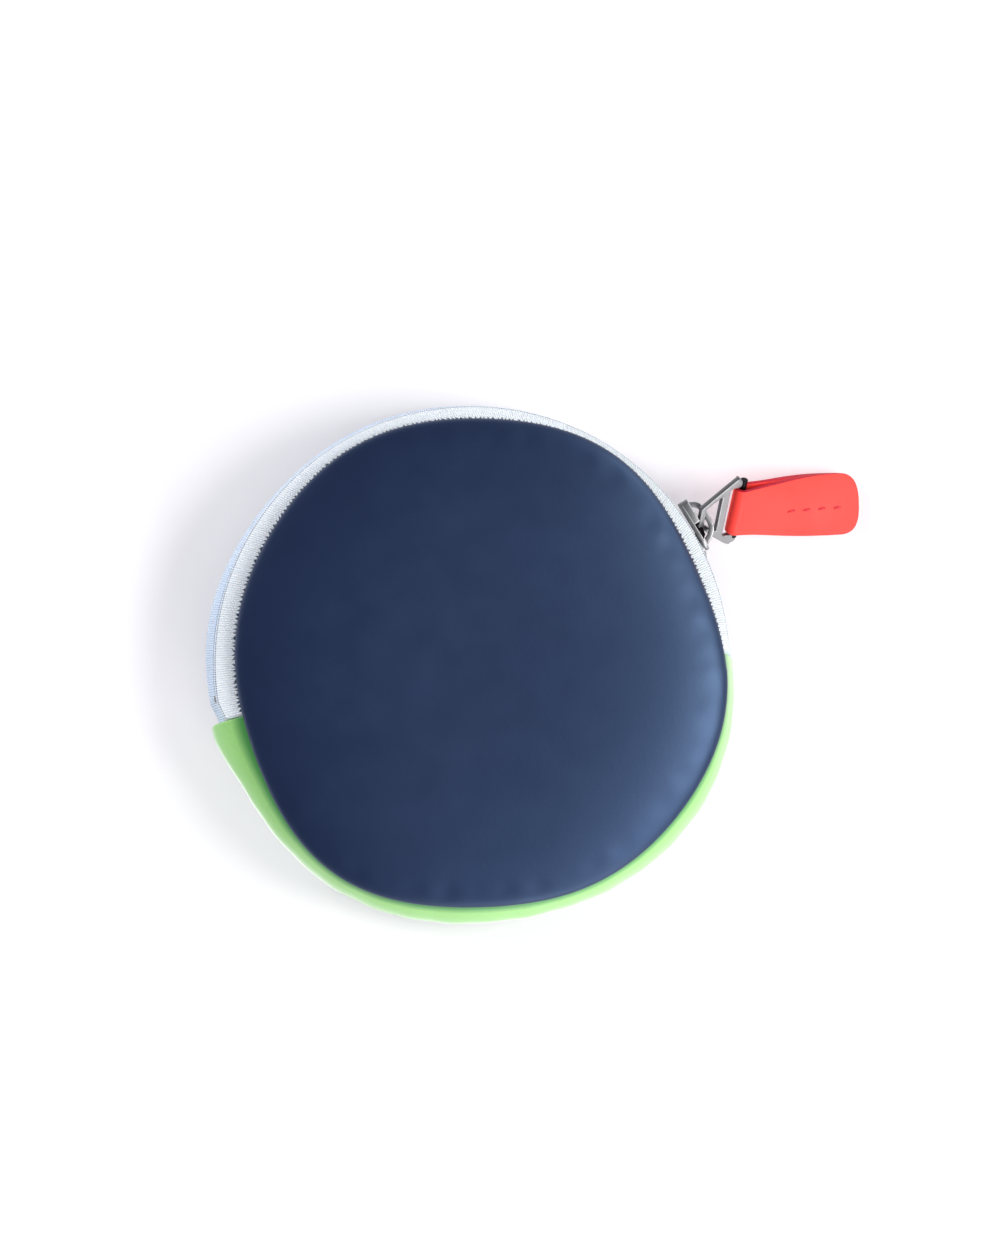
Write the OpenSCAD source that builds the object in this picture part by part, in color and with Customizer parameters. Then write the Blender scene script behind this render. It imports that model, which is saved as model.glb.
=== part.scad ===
// A small round zip pouch lying on its back.
// The soft front is a padded leather disc, the side is a leather gusset round the bottom
// and a zip round the top, and a metal ring with a folded leather strap pulls the slider.
// Millimetres, +Z up. The origin is the middle of the back, on the surface it rests on.
// Seen from above +X is right, +Y is up, and angles run counterclockwise from +X.

/* [Overall] */
// Height of the closed pouch at the top of its padded front
pouch_h = 25.5; // [24:0.5:30]
// Mean radius of the widest line round the side
side_r = 49.4; // [49:0.1:50.5]

/* [Front panel] */
// How far inside the side's widest line the seam of the front runs
front_inset = 2.76; // [2.4:0.02:3.2]
// How far the front disc sits to the right of the back
front_shift_x = 1.2; // [0:0.1:2]
// Height of the front dome above its seam
front_dome_h = 5; // [4:0.25:6]
// Distance of the fold line below the middle of the pouch
fold_drop = 4.05; // [2:0.05:6]
// Angle of the fold line against the X axis
fold_angle = 7.5; // [5:0.5:10]
// Gap between the lifting and the fixed part of the front at the fold
fold_gap = 0.3; // [0.2:0.05:0.5]

/* [Back panel] */
// How far inside the side's widest line the seam of the back runs
back_inset = 3; // [2.6:0.1:4]
// Height of the seam of the back above the surface it rests on
back_roll_h = 4; // [3:0.25:5]

/* [Layers] */
// Thickness of the leather
leather_t = 1.2; // [0.9:0.05:1.4]
// Thickness of the foam padding
foam_t = 3; // [2:0.25:3.5]
// Thickness of the lining fabric
lining_t = 0.5; // [0.3:0.05:0.6]
// Clearance between two layers that lie on each other
layer_gap = 0.05; // [0.04:0.01:0.1]
// Width of the binding tape over the seam allowance
binding_w = 3.2; // [2.4:0.1:4]
// Thickness of the bound seam allowance
binding_t = 1.2; // [0.8:0.1:1.4]

/* [Zip] */
// How far inside the side's widest line the outer face of the zip tapes runs
zip_inset = 0.8; // [0.5:0.05:1.2]
// Height of the zip line above the middle of the side
zip_rise = 1.05; // [0:0.05:1.5]
// Thickness of the zip tapes
tape_t = 0.5; // [0.4:0.02:0.6]
// Gap between the two tapes, which the slider's wedge runs in
tape_slit = 0.8; // [0.7:0.05:1]
// Diameter of each nylon coil
coil_d = 1.2; // [1:0.05:1.3]
// Distance from the middle of the closed slider to the first coil turn beside the top stops
coil_lead = 5; // [4.9:0.05:5.3]
// Angle of the last coil turn beside the bottom stop
coil_end_angle = 187; // [185:0.5:189]
// Length of the crimped stops along the zip
stop_length = 1.3; // [1:0.1:1.5]
// Height of the crimped stops across one tape
stop_w = 1.9; // [1.6:0.1:2.4]
// Thickness of the plates of the crimped stops
stop_t = 0.35; // [0.3:0.05:0.5]

/* [Gusset] */
// Angle where the leather gusset ends on the left, at its top edge
gusset_left_angle = 192.5; // [190:0.5:195]
// Angle where the leather gusset ends on the right, at its top edge
gusset_right_angle = 2.7; // [1:0.1:5]

/* [Slider] */
// Angle of the slider when the pouch is closed
slider_angle = 31.8; // [31.6:0.1:33]
// Length of the slider along the zip
slider_length = 10.3; // [9:0.1:10.4]
// Width of the slider across the tapes
slider_w = 7.4; // [6.8:0.1:7.6]
// Thickness of the outer plate
plate_t = 1; // [0.8:0.05:1.1]
// Thickness of the inner plate
inner_plate_t = 0.85; // [0.7:0.05:1]
// Thickness of the flanges beside the coils
flange_t = 0.6; // [0.5:0.05:0.8]
// Running clearance between the slider and the zip
slider_gap = 0.18; // [0.12:0.01:0.25]
// Clearance beside the wedge in the slit of the tapes
wedge_gap = 0.1; // [0.06:0.01:0.15]
// Height of the bridge above the outer plate
bridge_h = 2.95; // [2.8:0.05:3.4]
// Thickness of the bridge band
bridge_t = 1; // [0.8:0.05:1.1]
// Width of the bridge band
bridge_w = 1.2; // [1:0.05:1.5]

/* [Pull ring] */
// Outer width of the ring at the strap
ring_w = 14.9; // [14:0.1:16]
// Outer width of the ring at the slider
apex_w = 5; // [4.6:0.1:5.4]
// Thickness of the ring plate
ring_t = 1.1; // [0.9:0.05:1.2]
// Width of the bar that hangs in the bridge
apex_bar_w = 1.1; // [0.9:0.05:1.2]
// Reach of the ring behind the bridge band
apex_reach = 2.2; // [2.1:0.05:2.4]
// Width of the sloping legs
leg_w = 1.2; // [1:0.05:1.4]
// Distance from the bridge band to the crossbar
crossbar_x = 2; // [1.9:0.05:2.6]
// Width of the crossbar
crossbar_w = 1.6; // [1.2:0.05:1.7]
// Distance from the bridge band to the round bar that holds the strap
bar_x = 6.45; // [6.3:0.05:7]
// Diameter of the round bar that holds the strap
bar_d = 1.5; // [1.3:0.05:1.6]
// Radius of the rounded ears
ear_r = 1.1; // [0.9:0.05:1.2]
// Turn of the ring about the upright axis, against the slider
ring_yaw_angle = -19.8; // [-22:0.1:-18]
// Fall of the ring toward its strap
ring_pitch_angle = 28; // [26:0.5:30]
// Tilt of the ring about its own length
ring_roll_angle = 42; // [40:0.5:44]
// Shift of the ring across the bridge band
ring_shift = 0.9; // [0.85:0.05:1]

/* [Pull strap] */
// Length of the strap from the round bar to its tip
strap_length = 24; // [20:0.5:30]
// Width of the strap at its fold
strap_root_w = 10.3; // [9:0.1:10.5]
// Width of the strap at its rounded end
strap_w = 11.7; // [11:0.1:13]
// Thickness of one layer of the strap
strap_t = 1.15; // [0.9:0.05:1.2]
// Clearance of the strap loop round the bar
loop_gap = 0.08; // [0.05:0.01:0.1]
// Clearance of the strap beside the ears of the ring
strap_side_gap = 0.3; // [0.2:0.05:0.5]
// Lift of the strap against the plane of the ring
strap_lift_angle = 7; // [7:0.1:14]
// Untwisting of the strap from its fold to its tip
strap_twist_angle = 38.5; // [30:0.5:45]
// Length of one stitch
stitch_length = 1.7; // [1.2:0.1:2]
// Diameter of the stitching thread
stitch_d = 0.5; // [0.3:0.05:0.6]
// Number of stitches along the strap
stitch_count = 4; // [2:1:5]
// Distance between the middles of two stitches
stitch_spacing = 3.15; // [2.8:0.05:3.4]

/* [Hidden] */

// Roundness of the exact curves
$fn = 64;
// Points round the discs of the front
disc_points = 60;
// Angle between two sections of the side pieces
side_step_angle = 3;
// Overrun of a cut past the solid that it cuts
overrun = 1;

// Waves of the outlines, each as waves per turn, share of the mean radius and angle of a crest
front_wave_shares = [[2, 0.0062, -65], [3, 0.0081, -21], [4, 0.0137, -30], [6, 0.0099, -4.5]];
side_wave_shares = [
    [1, 0.0104, -111], [2, 0.013, -32], [3, 0.0083, -36], [4, 0.0088, -24], [5, 0.0053, -35], [6, 0.0037, -5]
];
// Flare of the gusset at its left end, as share of the mean radius, middle angle and spread
flare_share = 0.023;
flare_angle = 197;
flare_spread_angle = 6;

// Rings of the front disc, as shares of its radius
ring_shares = [0.06, 0.25, 0.42, 0.57, 0.69, 0.78, 0.85, 0.905, 0.945, 0.972, 0.99, 1];
// How many of those rings the padding and the lining reach
padding_rings = 9;
lining_rings = 10;
// Where the foam starts to thin out and where it ends, as shares of the radius
foam_full_share = 0.75;
foam_end_share = 0.96;
// Steepness of the front dome toward its seam
dome_power = 3.2;
// Radii of the back disc as shares, from its flat middle to its seam
back_ring_shares = [0.75, 0.82, 0.88, 0.93, 0.965, 0.99, 1];

// Radii of the seams and of the zip, and where the coils start
front_r = side_r - front_inset;
back_r = side_r - back_inset;
zip_r = side_r - zip_inset;
coil_start_angle = slider_angle - coil_lead / zip_r * 180 / PI;

// Heights of the seams, of the zip line and of the ends of the flat stretch of the tapes
front_seam_z = pouch_h - front_dome_h;
front_edge_z = front_seam_z - leather_t;
back_edge_z = back_roll_h + leather_t;
zip_z = (front_edge_z + back_edge_z) / 2 + zip_rise;
flat_half = slider_w / 2 + slider_gap / 2;
front_slit_z = zip_z + tape_slit / 2;
back_slit_z = zip_z - tape_slit / 2;
front_flat_z = zip_z + flat_half;
back_flat_z = zip_z - flat_half;
bulge_z = (back_flat_z + back_edge_z) / 2;
binding_front_z = front_edge_z - lining_t - 2 * layer_gap;
binding_back_z = back_edge_z + lining_t + 2 * layer_gap;

// Radii of the zip, from the tape inward
tape_inner_r = zip_r - tape_t;
coil_outer_r = tape_inner_r - 2 * layer_gap;
coil_r = coil_outer_r - coil_d / 2;
coil_inner_r = coil_outer_r - coil_d;

// Sag of the round zip under the straight slider
slider_sag = slider_length * slider_length / (8 * zip_r);
plate_inner_x = zip_r + slider_gap + layer_gap * 2;
plate_outer_x = plate_inner_x + plate_t;
inner_plate_x = coil_inner_r - slider_sag - slider_gap;
flange_top_x = tape_inner_r - slider_sag - slider_gap;
bridge_x = plate_outer_x + bridge_h - bridge_t / 2;
wedge_w = tape_slit - 2 * wedge_gap;

// Outline of the slider's outer plate and of its bridge, as shares of its length, width and height
plate_nose_share = 0.62;
plate_tail_w_share = 0.86;
thin_plate_share = 0.7;
flange_end_share = 0.55;
wedge_start_share = 0.62;
wedge_end_share = 0.94;
bridge_end_share = 0.915;
bridge_outer_shares = [
    [0.05, 0], [0.085, 0.42], [0.16, 0.82], [0.27, 1],
    [0.62, 1], [0.75, 0.8], [0.845, 0.45], [bridge_end_share, 0]
];
bridge_inner_shares = [
    [0.165, 0], [0.19, 0.6], [0.25, 0.92], [0.31, 1],
    [0.59, 1], [0.67, 0.84], [0.745, 0.5], [0.79, 0]
];
// Where the ring crosses the bridge, as a share of the slider's length behind its middle
ring_seat_share = 0.022;
// Rounding of the apex corners, as shares of the apex bar
apex_corner_shares = [[0, 0.85], [0.3, 0.25]];

// Shape of the strap: where it reaches full width, where its end rounds off and how its fold thins
strap_full_share = 0.6;
strap_round_length = strap_w / 2;
strap_fold_length = 5 * strap_t;
strap_ring_shares = [
    0, 0.05, 0.1, 0.16, 0.22, 0.3, 0.4, 0.5, 0.6, 0.68, 0.76, 0.83, 0.89, 0.94, 0.975, 0.993
];
strap_edge_share = 0.3;
// Squareness of the strap's rounded end, 2 for a circle
strap_end_power = 2.4;
first_stitch_share = 0.43;
stitch_side_share = -0.06;

// Radius of an outline at an angle
function wave_sum(shares, a) = let (terms = [for (w = shares) w[1] * cos(w[0] * (a - w[2]))])
    terms * [for (t = terms) 1];
function front_radius(a) = front_r * (1 + wave_sum(front_wave_shares, a));
function flare(a) = flare_share * exp(-pow((a - flare_angle) / flare_spread_angle, 2));
function side_radius(a) = side_r * (1 + wave_sum(side_wave_shares, a) + flare(a));

// Points round the middle of the front disc and round the middle of the back
function front_point(a, r, z) = [front_shift_x + r * cos(a), r * sin(a), z];
function side_point(a, r, z) = [r * cos(a), r * sin(a), z];

// Height of the front dome above its seam at a share of its radius, and what the foam takes there
function dome_height(s) = front_dome_h * sqrt(max(0, 1 - pow(s, dome_power)));
function foam_height(s) = s < foam_full_share ? foam_t
    : foam_t * max(0, 1 - pow((s - foam_full_share) / (foam_end_share - foam_full_share), 2));
function back_height(s) = back_roll_h
    * (1 - sqrt(max(0, 1 - pow((s - back_ring_shares[0]) / (1 - back_ring_shares[0]), 2))));

// Angles from one end of a side piece to the other
function side_angles(a0, a1) = let (n = ceil((a1 - a0) / side_step_angle))
    [for (i = [0 : n]) a0 + (a1 - a0) * i / n];

// Solid through a row of rings with the same number of points, closed at both ends.
// The points of a ring run clockwise as seen from the next ring.
module ring_loft(rings) {
    n = len(rings[0]);
    m = len(rings);
    points = [for (ring = rings) for (p = ring) p];
    sides = [
        for (j = [0 : m - 2]) for (i = [0 : n - 1])
            for (f = [
                [j * n + i, j * n + (i + 1) % n, (j + 1) * n + (i + 1) % n],
                [j * n + i, (j + 1) * n + (i + 1) % n, (j + 1) * n + i]
            ]) f
    ];
    // Each end is a ladder of triangles between the two halves of its ring
    last = [
        for (k = [0 : n / 2 - 2])
            for (f = [[k, k + 1, n - 2 - k], [k, n - 2 - k, n - 1 - k]])
                [for (i = f) (m - 1) * n + i]
    ];
    first = [for (f = last) [for (i = [2, 1, 0]) f[i] - (m - 1) * n]];
    polyhedron(points = points, faces = concat(first, sides, last), convexity = 6);
}

// One layer of the front disc between two depths under the dome, each given ring by ring
module disc_layer(count, top_z, bottom_z) {
    function ring(k, z) = [
        for (i = [0 : disc_points - 1])
            let (a = 360 * i / disc_points)
                front_point(a, front_radius(a) * ring_shares[k], z)
    ];
    ring_loft(concat(
        [for (k = [0 : count - 1]) ring(k, top_z[k])],
        [for (k = [0 : count - 1]) ring(count - 1 - k, bottom_z[count - 1 - k])]
    ));
}

// The half of its children above or below the fold line, seen from above
module fold_side(side) {
    reach = 2 * side_r;
    low_y = side > 0 ? fold_gap / 2 - fold_drop : -fold_gap / 2 - fold_drop - reach;
    intersection() {
        children();
        rotate([0, 0, fold_angle])
            translate([-reach, low_y, -overrun])
                cube([2 * reach, reach, pouch_h + 2 * overrun]);
    }
}

// Layers of the front

leather_top = [for (s = ring_shares) front_seam_z + dome_height(s)];
leather_bottom = [for (s = ring_shares) front_edge_z + dome_height(s)];
foam_top = [for (z = leather_bottom) z - layer_gap];
foam_bottom = [for (k = [0 : len(ring_shares) - 1]) foam_top[k] - foam_height(ring_shares[k])];
lining_top = [for (z = foam_bottom) z - layer_gap];
lining_bottom = [for (z = lining_top) z - lining_t];

module front_panel(side) {
    color([0.17, 0.24, 0.39])
        fold_side(side) disc_layer(len(ring_shares), leather_top, leather_bottom);
}

module front_padding(side) {
    color([0.9, 0.88, 0.8])
        fold_side(side) disc_layer(padding_rings, foam_top, foam_bottom);
}

module front_lining(side) {
    color([0.62, 0.66, 0.72])
        fold_side(side) disc_layer(lining_rings, lining_top, lining_bottom);
}

// Bound seam allowance inside the front seam, from one angle to another
module front_binding(a0, a1) {
    outer = leather_t + 3 * layer_gap;
    inner = outer + binding_w;
    color([0.55, 0.6, 0.68])
        ring_loft([
            for (a = side_angles(a0, a1)) [
                front_point(a, front_radius(a) - outer, binding_front_z - binding_t),
                front_point(a, front_radius(a) - outer, binding_front_z),
                front_point(a, front_radius(a) - inner, binding_front_z),
                front_point(a, front_radius(a) - inner, binding_front_z - binding_t)
            ]
        ]);
}

// Angle that the fold gap takes at the front seam
fold_gap_angle = fold_gap / front_r * 90 / PI;

module front_panel_upper() front_panel(1);
module front_panel_lower() front_panel(-1);
module front_padding_upper() front_padding(1);
module front_padding_lower() front_padding(-1);
module front_lining_upper() front_lining(1);
module front_lining_lower() front_lining(-1);
module front_binding_upper()
    front_binding(gusset_right_angle + fold_gap_angle, gusset_left_angle - fold_gap_angle);
module front_binding_lower()
    front_binding(gusset_left_angle + fold_gap_angle, 360 + gusset_right_angle - fold_gap_angle);

// Layers of the back, all turned about the upright axis

function back_row(dz, count) = [
    for (k = [0 : count - 1]) [back_r * back_ring_shares[k], back_height(back_ring_shares[k]) + dz]
];
function reversed(list) = [for (i = [1 : len(list)]) list[len(list) - i]];

// Foam of the back thins out like the foam of the front
function back_foam_row(count) = [
    for (k = [0 : count - 1])
        let (s = back_ring_shares[k])
            [back_r * s, back_height(s) + leather_t + layer_gap + foam_height(s)]
];

back_foam_count = 4;
back_lining_count = 5;

module back_panel() {
    count = len(back_ring_shares);
    color([0.17, 0.24, 0.39])
        rotate_extrude()
            polygon(concat(
                [[0, 0]], back_row(0, count), reversed(back_row(leather_t, count)), [[0, leather_t]]
            ));
}

module back_padding() {
    color([0.9, 0.88, 0.8])
        rotate_extrude()
            polygon(concat(
                [[0, leather_t + layer_gap]], back_row(leather_t + layer_gap, back_foam_count),
                reversed(back_foam_row(back_foam_count)), [[0, leather_t + layer_gap + foam_t]]
            ));
}

module back_lining() {
    low = [for (p = back_foam_row(back_lining_count)) [p[0], p[1] + layer_gap]];
    high = [for (p = low) [p[0], p[1] + lining_t]];
    color([0.62, 0.66, 0.72])
        rotate_extrude()
            polygon(concat(
                [[0, low[0][1]]], low, reversed(high), [[0, high[0][1]]]
            ));
}

module back_binding() {
    outer = back_r - leather_t - 3 * layer_gap;
    color([0.55, 0.6, 0.68])
        rotate_extrude()
            translate([outer - binding_w, binding_back_z])
                square([binding_w, binding_t]);
}

// Leather gusset round the bottom, with its two squared ends

// Heights and outward shares of the gusset's section, from the back seam to the front seam
gusset_height_shares = [0, 0.16, 0.42, 0.74, 1];
gusset_bulge_shares = [0, 0.72, 1, 0.86, 0];
gusset_top = len(gusset_height_shares) - 1;
// How far the two ends of the gusset lean round the side from the front seam down, in degrees
gusset_left_lean_angle = 3;
gusset_right_lean_angle = -3.6;

// Angle at a height after a share of the way round, between the leaning ends of the gusset
function gusset_angle(z, way) = let (
    lean = (front_edge_z - z) / (front_edge_z - back_edge_z),
    a0 = gusset_left_angle + gusset_left_lean_angle * lean,
    a1 = 360 + gusset_right_angle + gusset_right_lean_angle * lean
) a0 + (a1 - a0) * way;

// Angle at a height after a share of the way round the zip, from the right end to the left
function tape_angle(z, way) = let (
    lean = (front_edge_z - z) / (front_edge_z - back_edge_z),
    a0 = gusset_right_angle + gusset_right_lean_angle * lean + tape_end_gap_angle,
    a1 = gusset_left_angle + gusset_left_lean_angle * lean - tape_end_gap_angle
) a0 + (a1 - a0) * way;

gusset_steps = ceil((360 + gusset_right_angle - gusset_left_angle) / side_step_angle);
tape_steps = ceil((gusset_left_angle - gusset_right_angle) / side_step_angle);

function gusset_z(k) = back_edge_z + layer_gap
    + (front_edge_z - back_edge_z - 2 * layer_gap) * gusset_height_shares[k];

// Point k of the gusset's section, a depth inward from its outer face
function gusset_point(k, way, depth) = let (
    z = gusset_z(k),
    a = gusset_angle(z, way),
    base = back_r - layer_gap + (side_radius(a) - back_r) * gusset_bulge_shares[k]
) k == gusset_top ? front_point(a, front_radius(a) - layer_gap - depth, z) : side_point(a, base - depth, z);

// Band between two depths over some of the points of the gusset's section
module gusset_band(rows, outer, inner) {
    ring_loft([
        for (i = [0 : gusset_steps]) concat(
            [for (k = rows) gusset_point(k, i / gusset_steps, outer)],
            [for (k = reversed(rows)) gusset_point(k, i / gusset_steps, inner)]
        )
    ]);
}

module gusset() {
    color([0.55, 0.82, 0.48])
        gusset_band([0, 1, 2, 3, 4], 0, leather_t);
}

module gusset_lining() {
    outer = leather_t + layer_gap;
    color([0.62, 0.66, 0.72])
        gusset_band([1, 2, 3], outer, outer + lining_t);
}

// The zip: two woven tapes with a coil on each, and the stops at its ends

// Angle between the end of a tape and the gusset
tape_end_gap_angle = 0.2;
// Where the front tape's middle row lies between its flat stretch and the seam
shoulder_share = 0.5;

// Point of a tape on its own round, and point of its edge under the front seam
function tape_point(way, r, z) = side_point(tape_angle(z, way), r, z);
function tape_rim_point(way, depth, z) = let (a = tape_angle(z, way))
    front_point(a, front_radius(a) - 2 * layer_gap - depth, z);

module front_zip_tape() {
    rim_z = front_edge_z - layer_gap;
    middle_z = front_flat_z + (rim_z - front_flat_z) * shoulder_share;
    function middle(way, depth) =
        (tape_rim_point(way, depth, middle_z) + tape_point(way, zip_r - depth, middle_z)) / 2;
    function side(way, depth) = [
        tape_point(way, zip_r - depth, front_slit_z), tape_point(way, zip_r - depth, front_flat_z),
        middle(way, depth), tape_rim_point(way, depth, rim_z)
    ];
    color([0.72, 0.85, 0.94])
        ring_loft([
            for (i = [0 : tape_steps]) concat(side(i / tape_steps, 0), reversed(side(i / tape_steps, tape_t)))
        ]);
}

module back_zip_tape() {
    rim_z = back_edge_z + layer_gap;
    rim_r = back_r - 2 * layer_gap;
    // The tape bulges to the side's outline, but never inside its own flat stretch
    function bulge(way) = max(zip_r, side_radius(tape_angle(bulge_z, way)));
    function side(way, depth) = [
        tape_point(way, rim_r - depth, rim_z), tape_point(way, bulge(way) - depth, bulge_z),
        tape_point(way, zip_r - depth, back_flat_z), tape_point(way, zip_r - depth, back_slit_z)
    ];
    color([0.66, 0.8, 0.9])
        ring_loft([
            for (i = [0 : tape_steps]) concat(side(i / tape_steps, 0), reversed(side(i / tape_steps, tape_t)))
        ]);
}

// Round rod about the upright axis, from one angle to another
module turned_rod(a0, a1, r, z, d) {
    rotate([0, 0, a0])
        rotate_extrude(angle = a1 - a0)
            translate([r, z])
                circle(d = d, $fn = 24);
}

coil_offset = (tape_slit + coil_d) / 2;

module front_zip_coil() {
    color([0.6, 0.76, 0.88])
        turned_rod(coil_start_angle, coil_end_angle, coil_r, zip_z + coil_offset, coil_d);
}

module back_zip_coil() {
    color([0.6, 0.76, 0.88])
        turned_rod(coil_start_angle, coil_end_angle, coil_r, zip_z - coil_offset, coil_d);
}

// Block about the upright axis: from radius r0 to r1 and from height z0 to z1
module turned_block(a0, a1, r0, r1, z0, z1) {
    rotate([0, 0, a0])
        rotate_extrude(angle = a1 - a0)
            translate([r0, z0])
                square([r1 - r0, z1 - z0]);
}

// A crimped stop: a foot inside the tape, a plate outside it and a web through the slit.
// Its foot and plate run from height low to height high, its web from web_low to web_high.
module crimped_stop(a0, a1, low, high, web_low, web_high) {
    foot_r0 = coil_inner_r;
    foot_r1 = coil_outer_r;
    plate_r0 = zip_r + layer_gap;
    color([0.72, 0.73, 0.74])
        union() {
            turned_block(a0, a1, foot_r0, foot_r1, low, high);
            turned_block(a0, a1, plate_r0, plate_r0 + stop_t, low, high);
            turned_block(a0, a1, foot_r0, plate_r0 + stop_t, web_low, web_high);
        }
}

stop_angle = stop_length / zip_r * 180 / PI;
stop_end_gap = layer_gap / zip_r * 180 / PI;
stop_web = tape_slit / 2 - 2 * layer_gap;

module front_top_stop() {
    crimped_stop(
        coil_start_angle - stop_end_gap - stop_angle, coil_start_angle - stop_end_gap,
        zip_z + layer_gap, front_slit_z + stop_w, zip_z + layer_gap, zip_z + layer_gap + stop_web
    );
}

module back_top_stop() {
    crimped_stop(
        coil_start_angle - stop_end_gap - stop_angle, coil_start_angle - stop_end_gap,
        back_slit_z - stop_w, zip_z - layer_gap, zip_z - layer_gap - stop_web, zip_z - layer_gap
    );
}

module bottom_stop() {
    crimped_stop(
        coil_end_angle + stop_end_gap, coil_end_angle + stop_end_gap + stop_angle,
        back_slit_z - stop_w, front_slit_z + stop_w,
        back_slit_z + layer_gap, front_slit_z - layer_gap
    );
}

// Slider, ring and strap, each in the frame of the piece that carries it

// Frame of the slider: X points outward from the zip, Y counterclockwise along it
module in_slider() {
    rotate([0, 0, slider_angle]) translate([0, 0, zip_z]) children();
}

// Frame of the ring: X along it toward the strap, Y across it
module in_ring() {
    in_slider()
        translate([bridge_x, -slider_length * ring_seat_share, 0])
            rotate([ring_roll_angle, ring_pitch_angle, ring_yaw_angle])
                translate([0, ring_shift, 0])
                    children();
}

// Frame of the strap: X along it from the round bar, Y along that bar
module in_strap() {
    in_ring() translate([bar_x, 0, 0]) rotate([0, -strap_lift_angle, 0]) children();
}

// Place along the slider, as a share of its length from its tail
function along(share) = slider_length * (1 / 2 - share);

// Outline of a slider plate in the YZ plane, narrow at its tail and wide at its nose
module plate_outline() {
    tail = slider_w * plate_tail_w_share / 2;
    nose_r = slider_w / 4;
    polygon([
        [along(0), -tail], [along(0), tail],
        [along(plate_nose_share), slider_w / 2], [along(1) + nose_r, slider_w / 2],
        [along(1) + nose_r, -slider_w / 2], [along(plate_nose_share), -slider_w / 2]
    ]);
    for (side = [-1, 1])
        translate([along(1) + nose_r, side * nose_r]) circle(r = nose_r);
}

// Plate between two distances from the upright axis
module slider_plate(x0, x1) {
    translate([x0, 0, 0])
        rotate([90, 0, 90])
            linear_extrude(x1 - x0)
                plate_outline();
}

// Box between two distances, two shares of the slider's length and two heights
module slider_box(x0, x1, tail_share, nose_share, z0, z1) {
    translate([x0, along(nose_share), z0])
        cube([x1 - x0, along(tail_share) - along(nose_share), z1 - z0]);
}

module bridge() {
    inner_h = bridge_h - bridge_t;
    outer = [for (p = bridge_outer_shares) [bridge_h * p[1], along(p[0])]];
    inner = [for (p = bridge_inner_shares) [inner_h * p[1], along(p[0])]];
    translate([plate_outer_x, 0, -bridge_w / 2])
        linear_extrude(bridge_w)
            polygon(concat(outer, reversed(inner)));
}

module zip_slider() {
    tail = slider_w * plate_tail_w_share / 2;
    color([0.66, 0.66, 0.67])
        in_slider() {
            difference() {
                slider_plate(plate_inner_x, plate_outer_x);
                slider_box(
                    plate_inner_x + plate_t * thin_plate_share, plate_outer_x + overrun,
                    bridge_end_share + wedge_gap / slider_length, 1 + overrun / slider_length,
                    -slider_w, slider_w
                );
            }
            slider_plate(inner_plate_x - inner_plate_t, inner_plate_x);
            for (side = [-1, 1])
                slider_box(
                    inner_plate_x - inner_plate_t / 2, flange_top_x, 0, flange_end_share,
                    side > 0 ? tail - flange_t : -tail, side > 0 ? tail : flange_t - tail
                );
            slider_box(
                inner_plate_x - inner_plate_t / 2, plate_inner_x + plate_t / 2,
                wedge_start_share, wedge_end_share, -wedge_w / 2, wedge_w / 2
            );
            bridge();
        }
}

// The flat ring: a bar in the bridge, two legs, a crossbar and a round bar between two ears

shoulder_x = bar_x - ear_r - bar_d / 2;
leg_slope = (ring_w - apex_w) / 2 / (shoulder_x + apex_reach);
function leg_y(x) = apex_w / 2 + (x + apex_reach) * leg_slope;
slot_half_w = strap_root_w / 2 + strap_side_gap;
leg_across = leg_w * sqrt(1 + leg_slope * leg_slope);

module ring_outline() {
    first = apex_corner_shares[0];
    second = apex_corner_shares[1];
    half = [
        [-apex_reach + apex_bar_w * first[0], apex_w / 2 - apex_bar_w * first[1]],
        [-apex_reach + apex_bar_w * second[0], apex_w / 2 - apex_bar_w * second[1]],
        [-apex_reach + apex_bar_w, leg_y(-apex_reach + apex_bar_w)],
        [shoulder_x, ring_w / 2], [bar_x, ring_w / 2]
    ];
    polygon(concat(half, [for (p = reversed(half)) [p[0], -p[1]]]));
    for (side = [-1, 1])
        translate([bar_x, side * (ring_w / 2 - ear_r)]) circle(r = ear_r);
}

module ring_window() {
    start = -apex_reach + apex_bar_w;
    polygon([
        [start, leg_y(start) - leg_across], [start, leg_across - leg_y(start)],
        [crossbar_x, leg_across - leg_y(crossbar_x)], [crossbar_x, leg_y(crossbar_x) - leg_across]
    ]);
}

module pull_ring() {
    color([0.7, 0.7, 0.71])
        in_ring()
            union() {
                translate([0, 0, -ring_t / 2])
                    linear_extrude(ring_t)
                        difference() {
                            ring_outline();
                            ring_window();
                            translate([crossbar_x + crossbar_w, -slot_half_w])
                                square([bar_x, 2 * slot_half_w]);
                        }
                translate([bar_x, 0, 0])
                    rotate([90, 0, 0])
                        cylinder(d = bar_d, h = 2 * slot_half_w + ear_r, center = true);
            }
}

// The strap: one strip folded round the bar, its two layers glued and stitched together

loop_r = bar_d / 2 + loop_gap + strap_t;

// Smooth rise from 0 to 1
function ease(t) = let (c = min(1, max(0, t))) c * c * (3 - 2 * c);

function strap_half_w(x) = let (
    grow = ease(x / (strap_length * strap_full_share)),
    full = strap_root_w / 2 + (strap_w - strap_root_w) / 2 * grow,
    into_end = max(0, x - (strap_length - strap_round_length)) / strap_round_length
) full * pow(1 - pow(into_end, strap_end_power), 1 / strap_end_power);
function strap_half_t(x) = strap_t + (loop_r - strap_t) * (1 - ease(x / strap_fold_length)) * (1 - layer_gap);
function strap_turn(x) = -strap_twist_angle * ease(x / strap_length);

// Point of the strap at a distance along it, across it and above its middle
function strap_point(x, y, z) = let (t = strap_turn(x))
    [x, y * cos(t) - z * sin(t), y * sin(t) + z * cos(t)];

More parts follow.
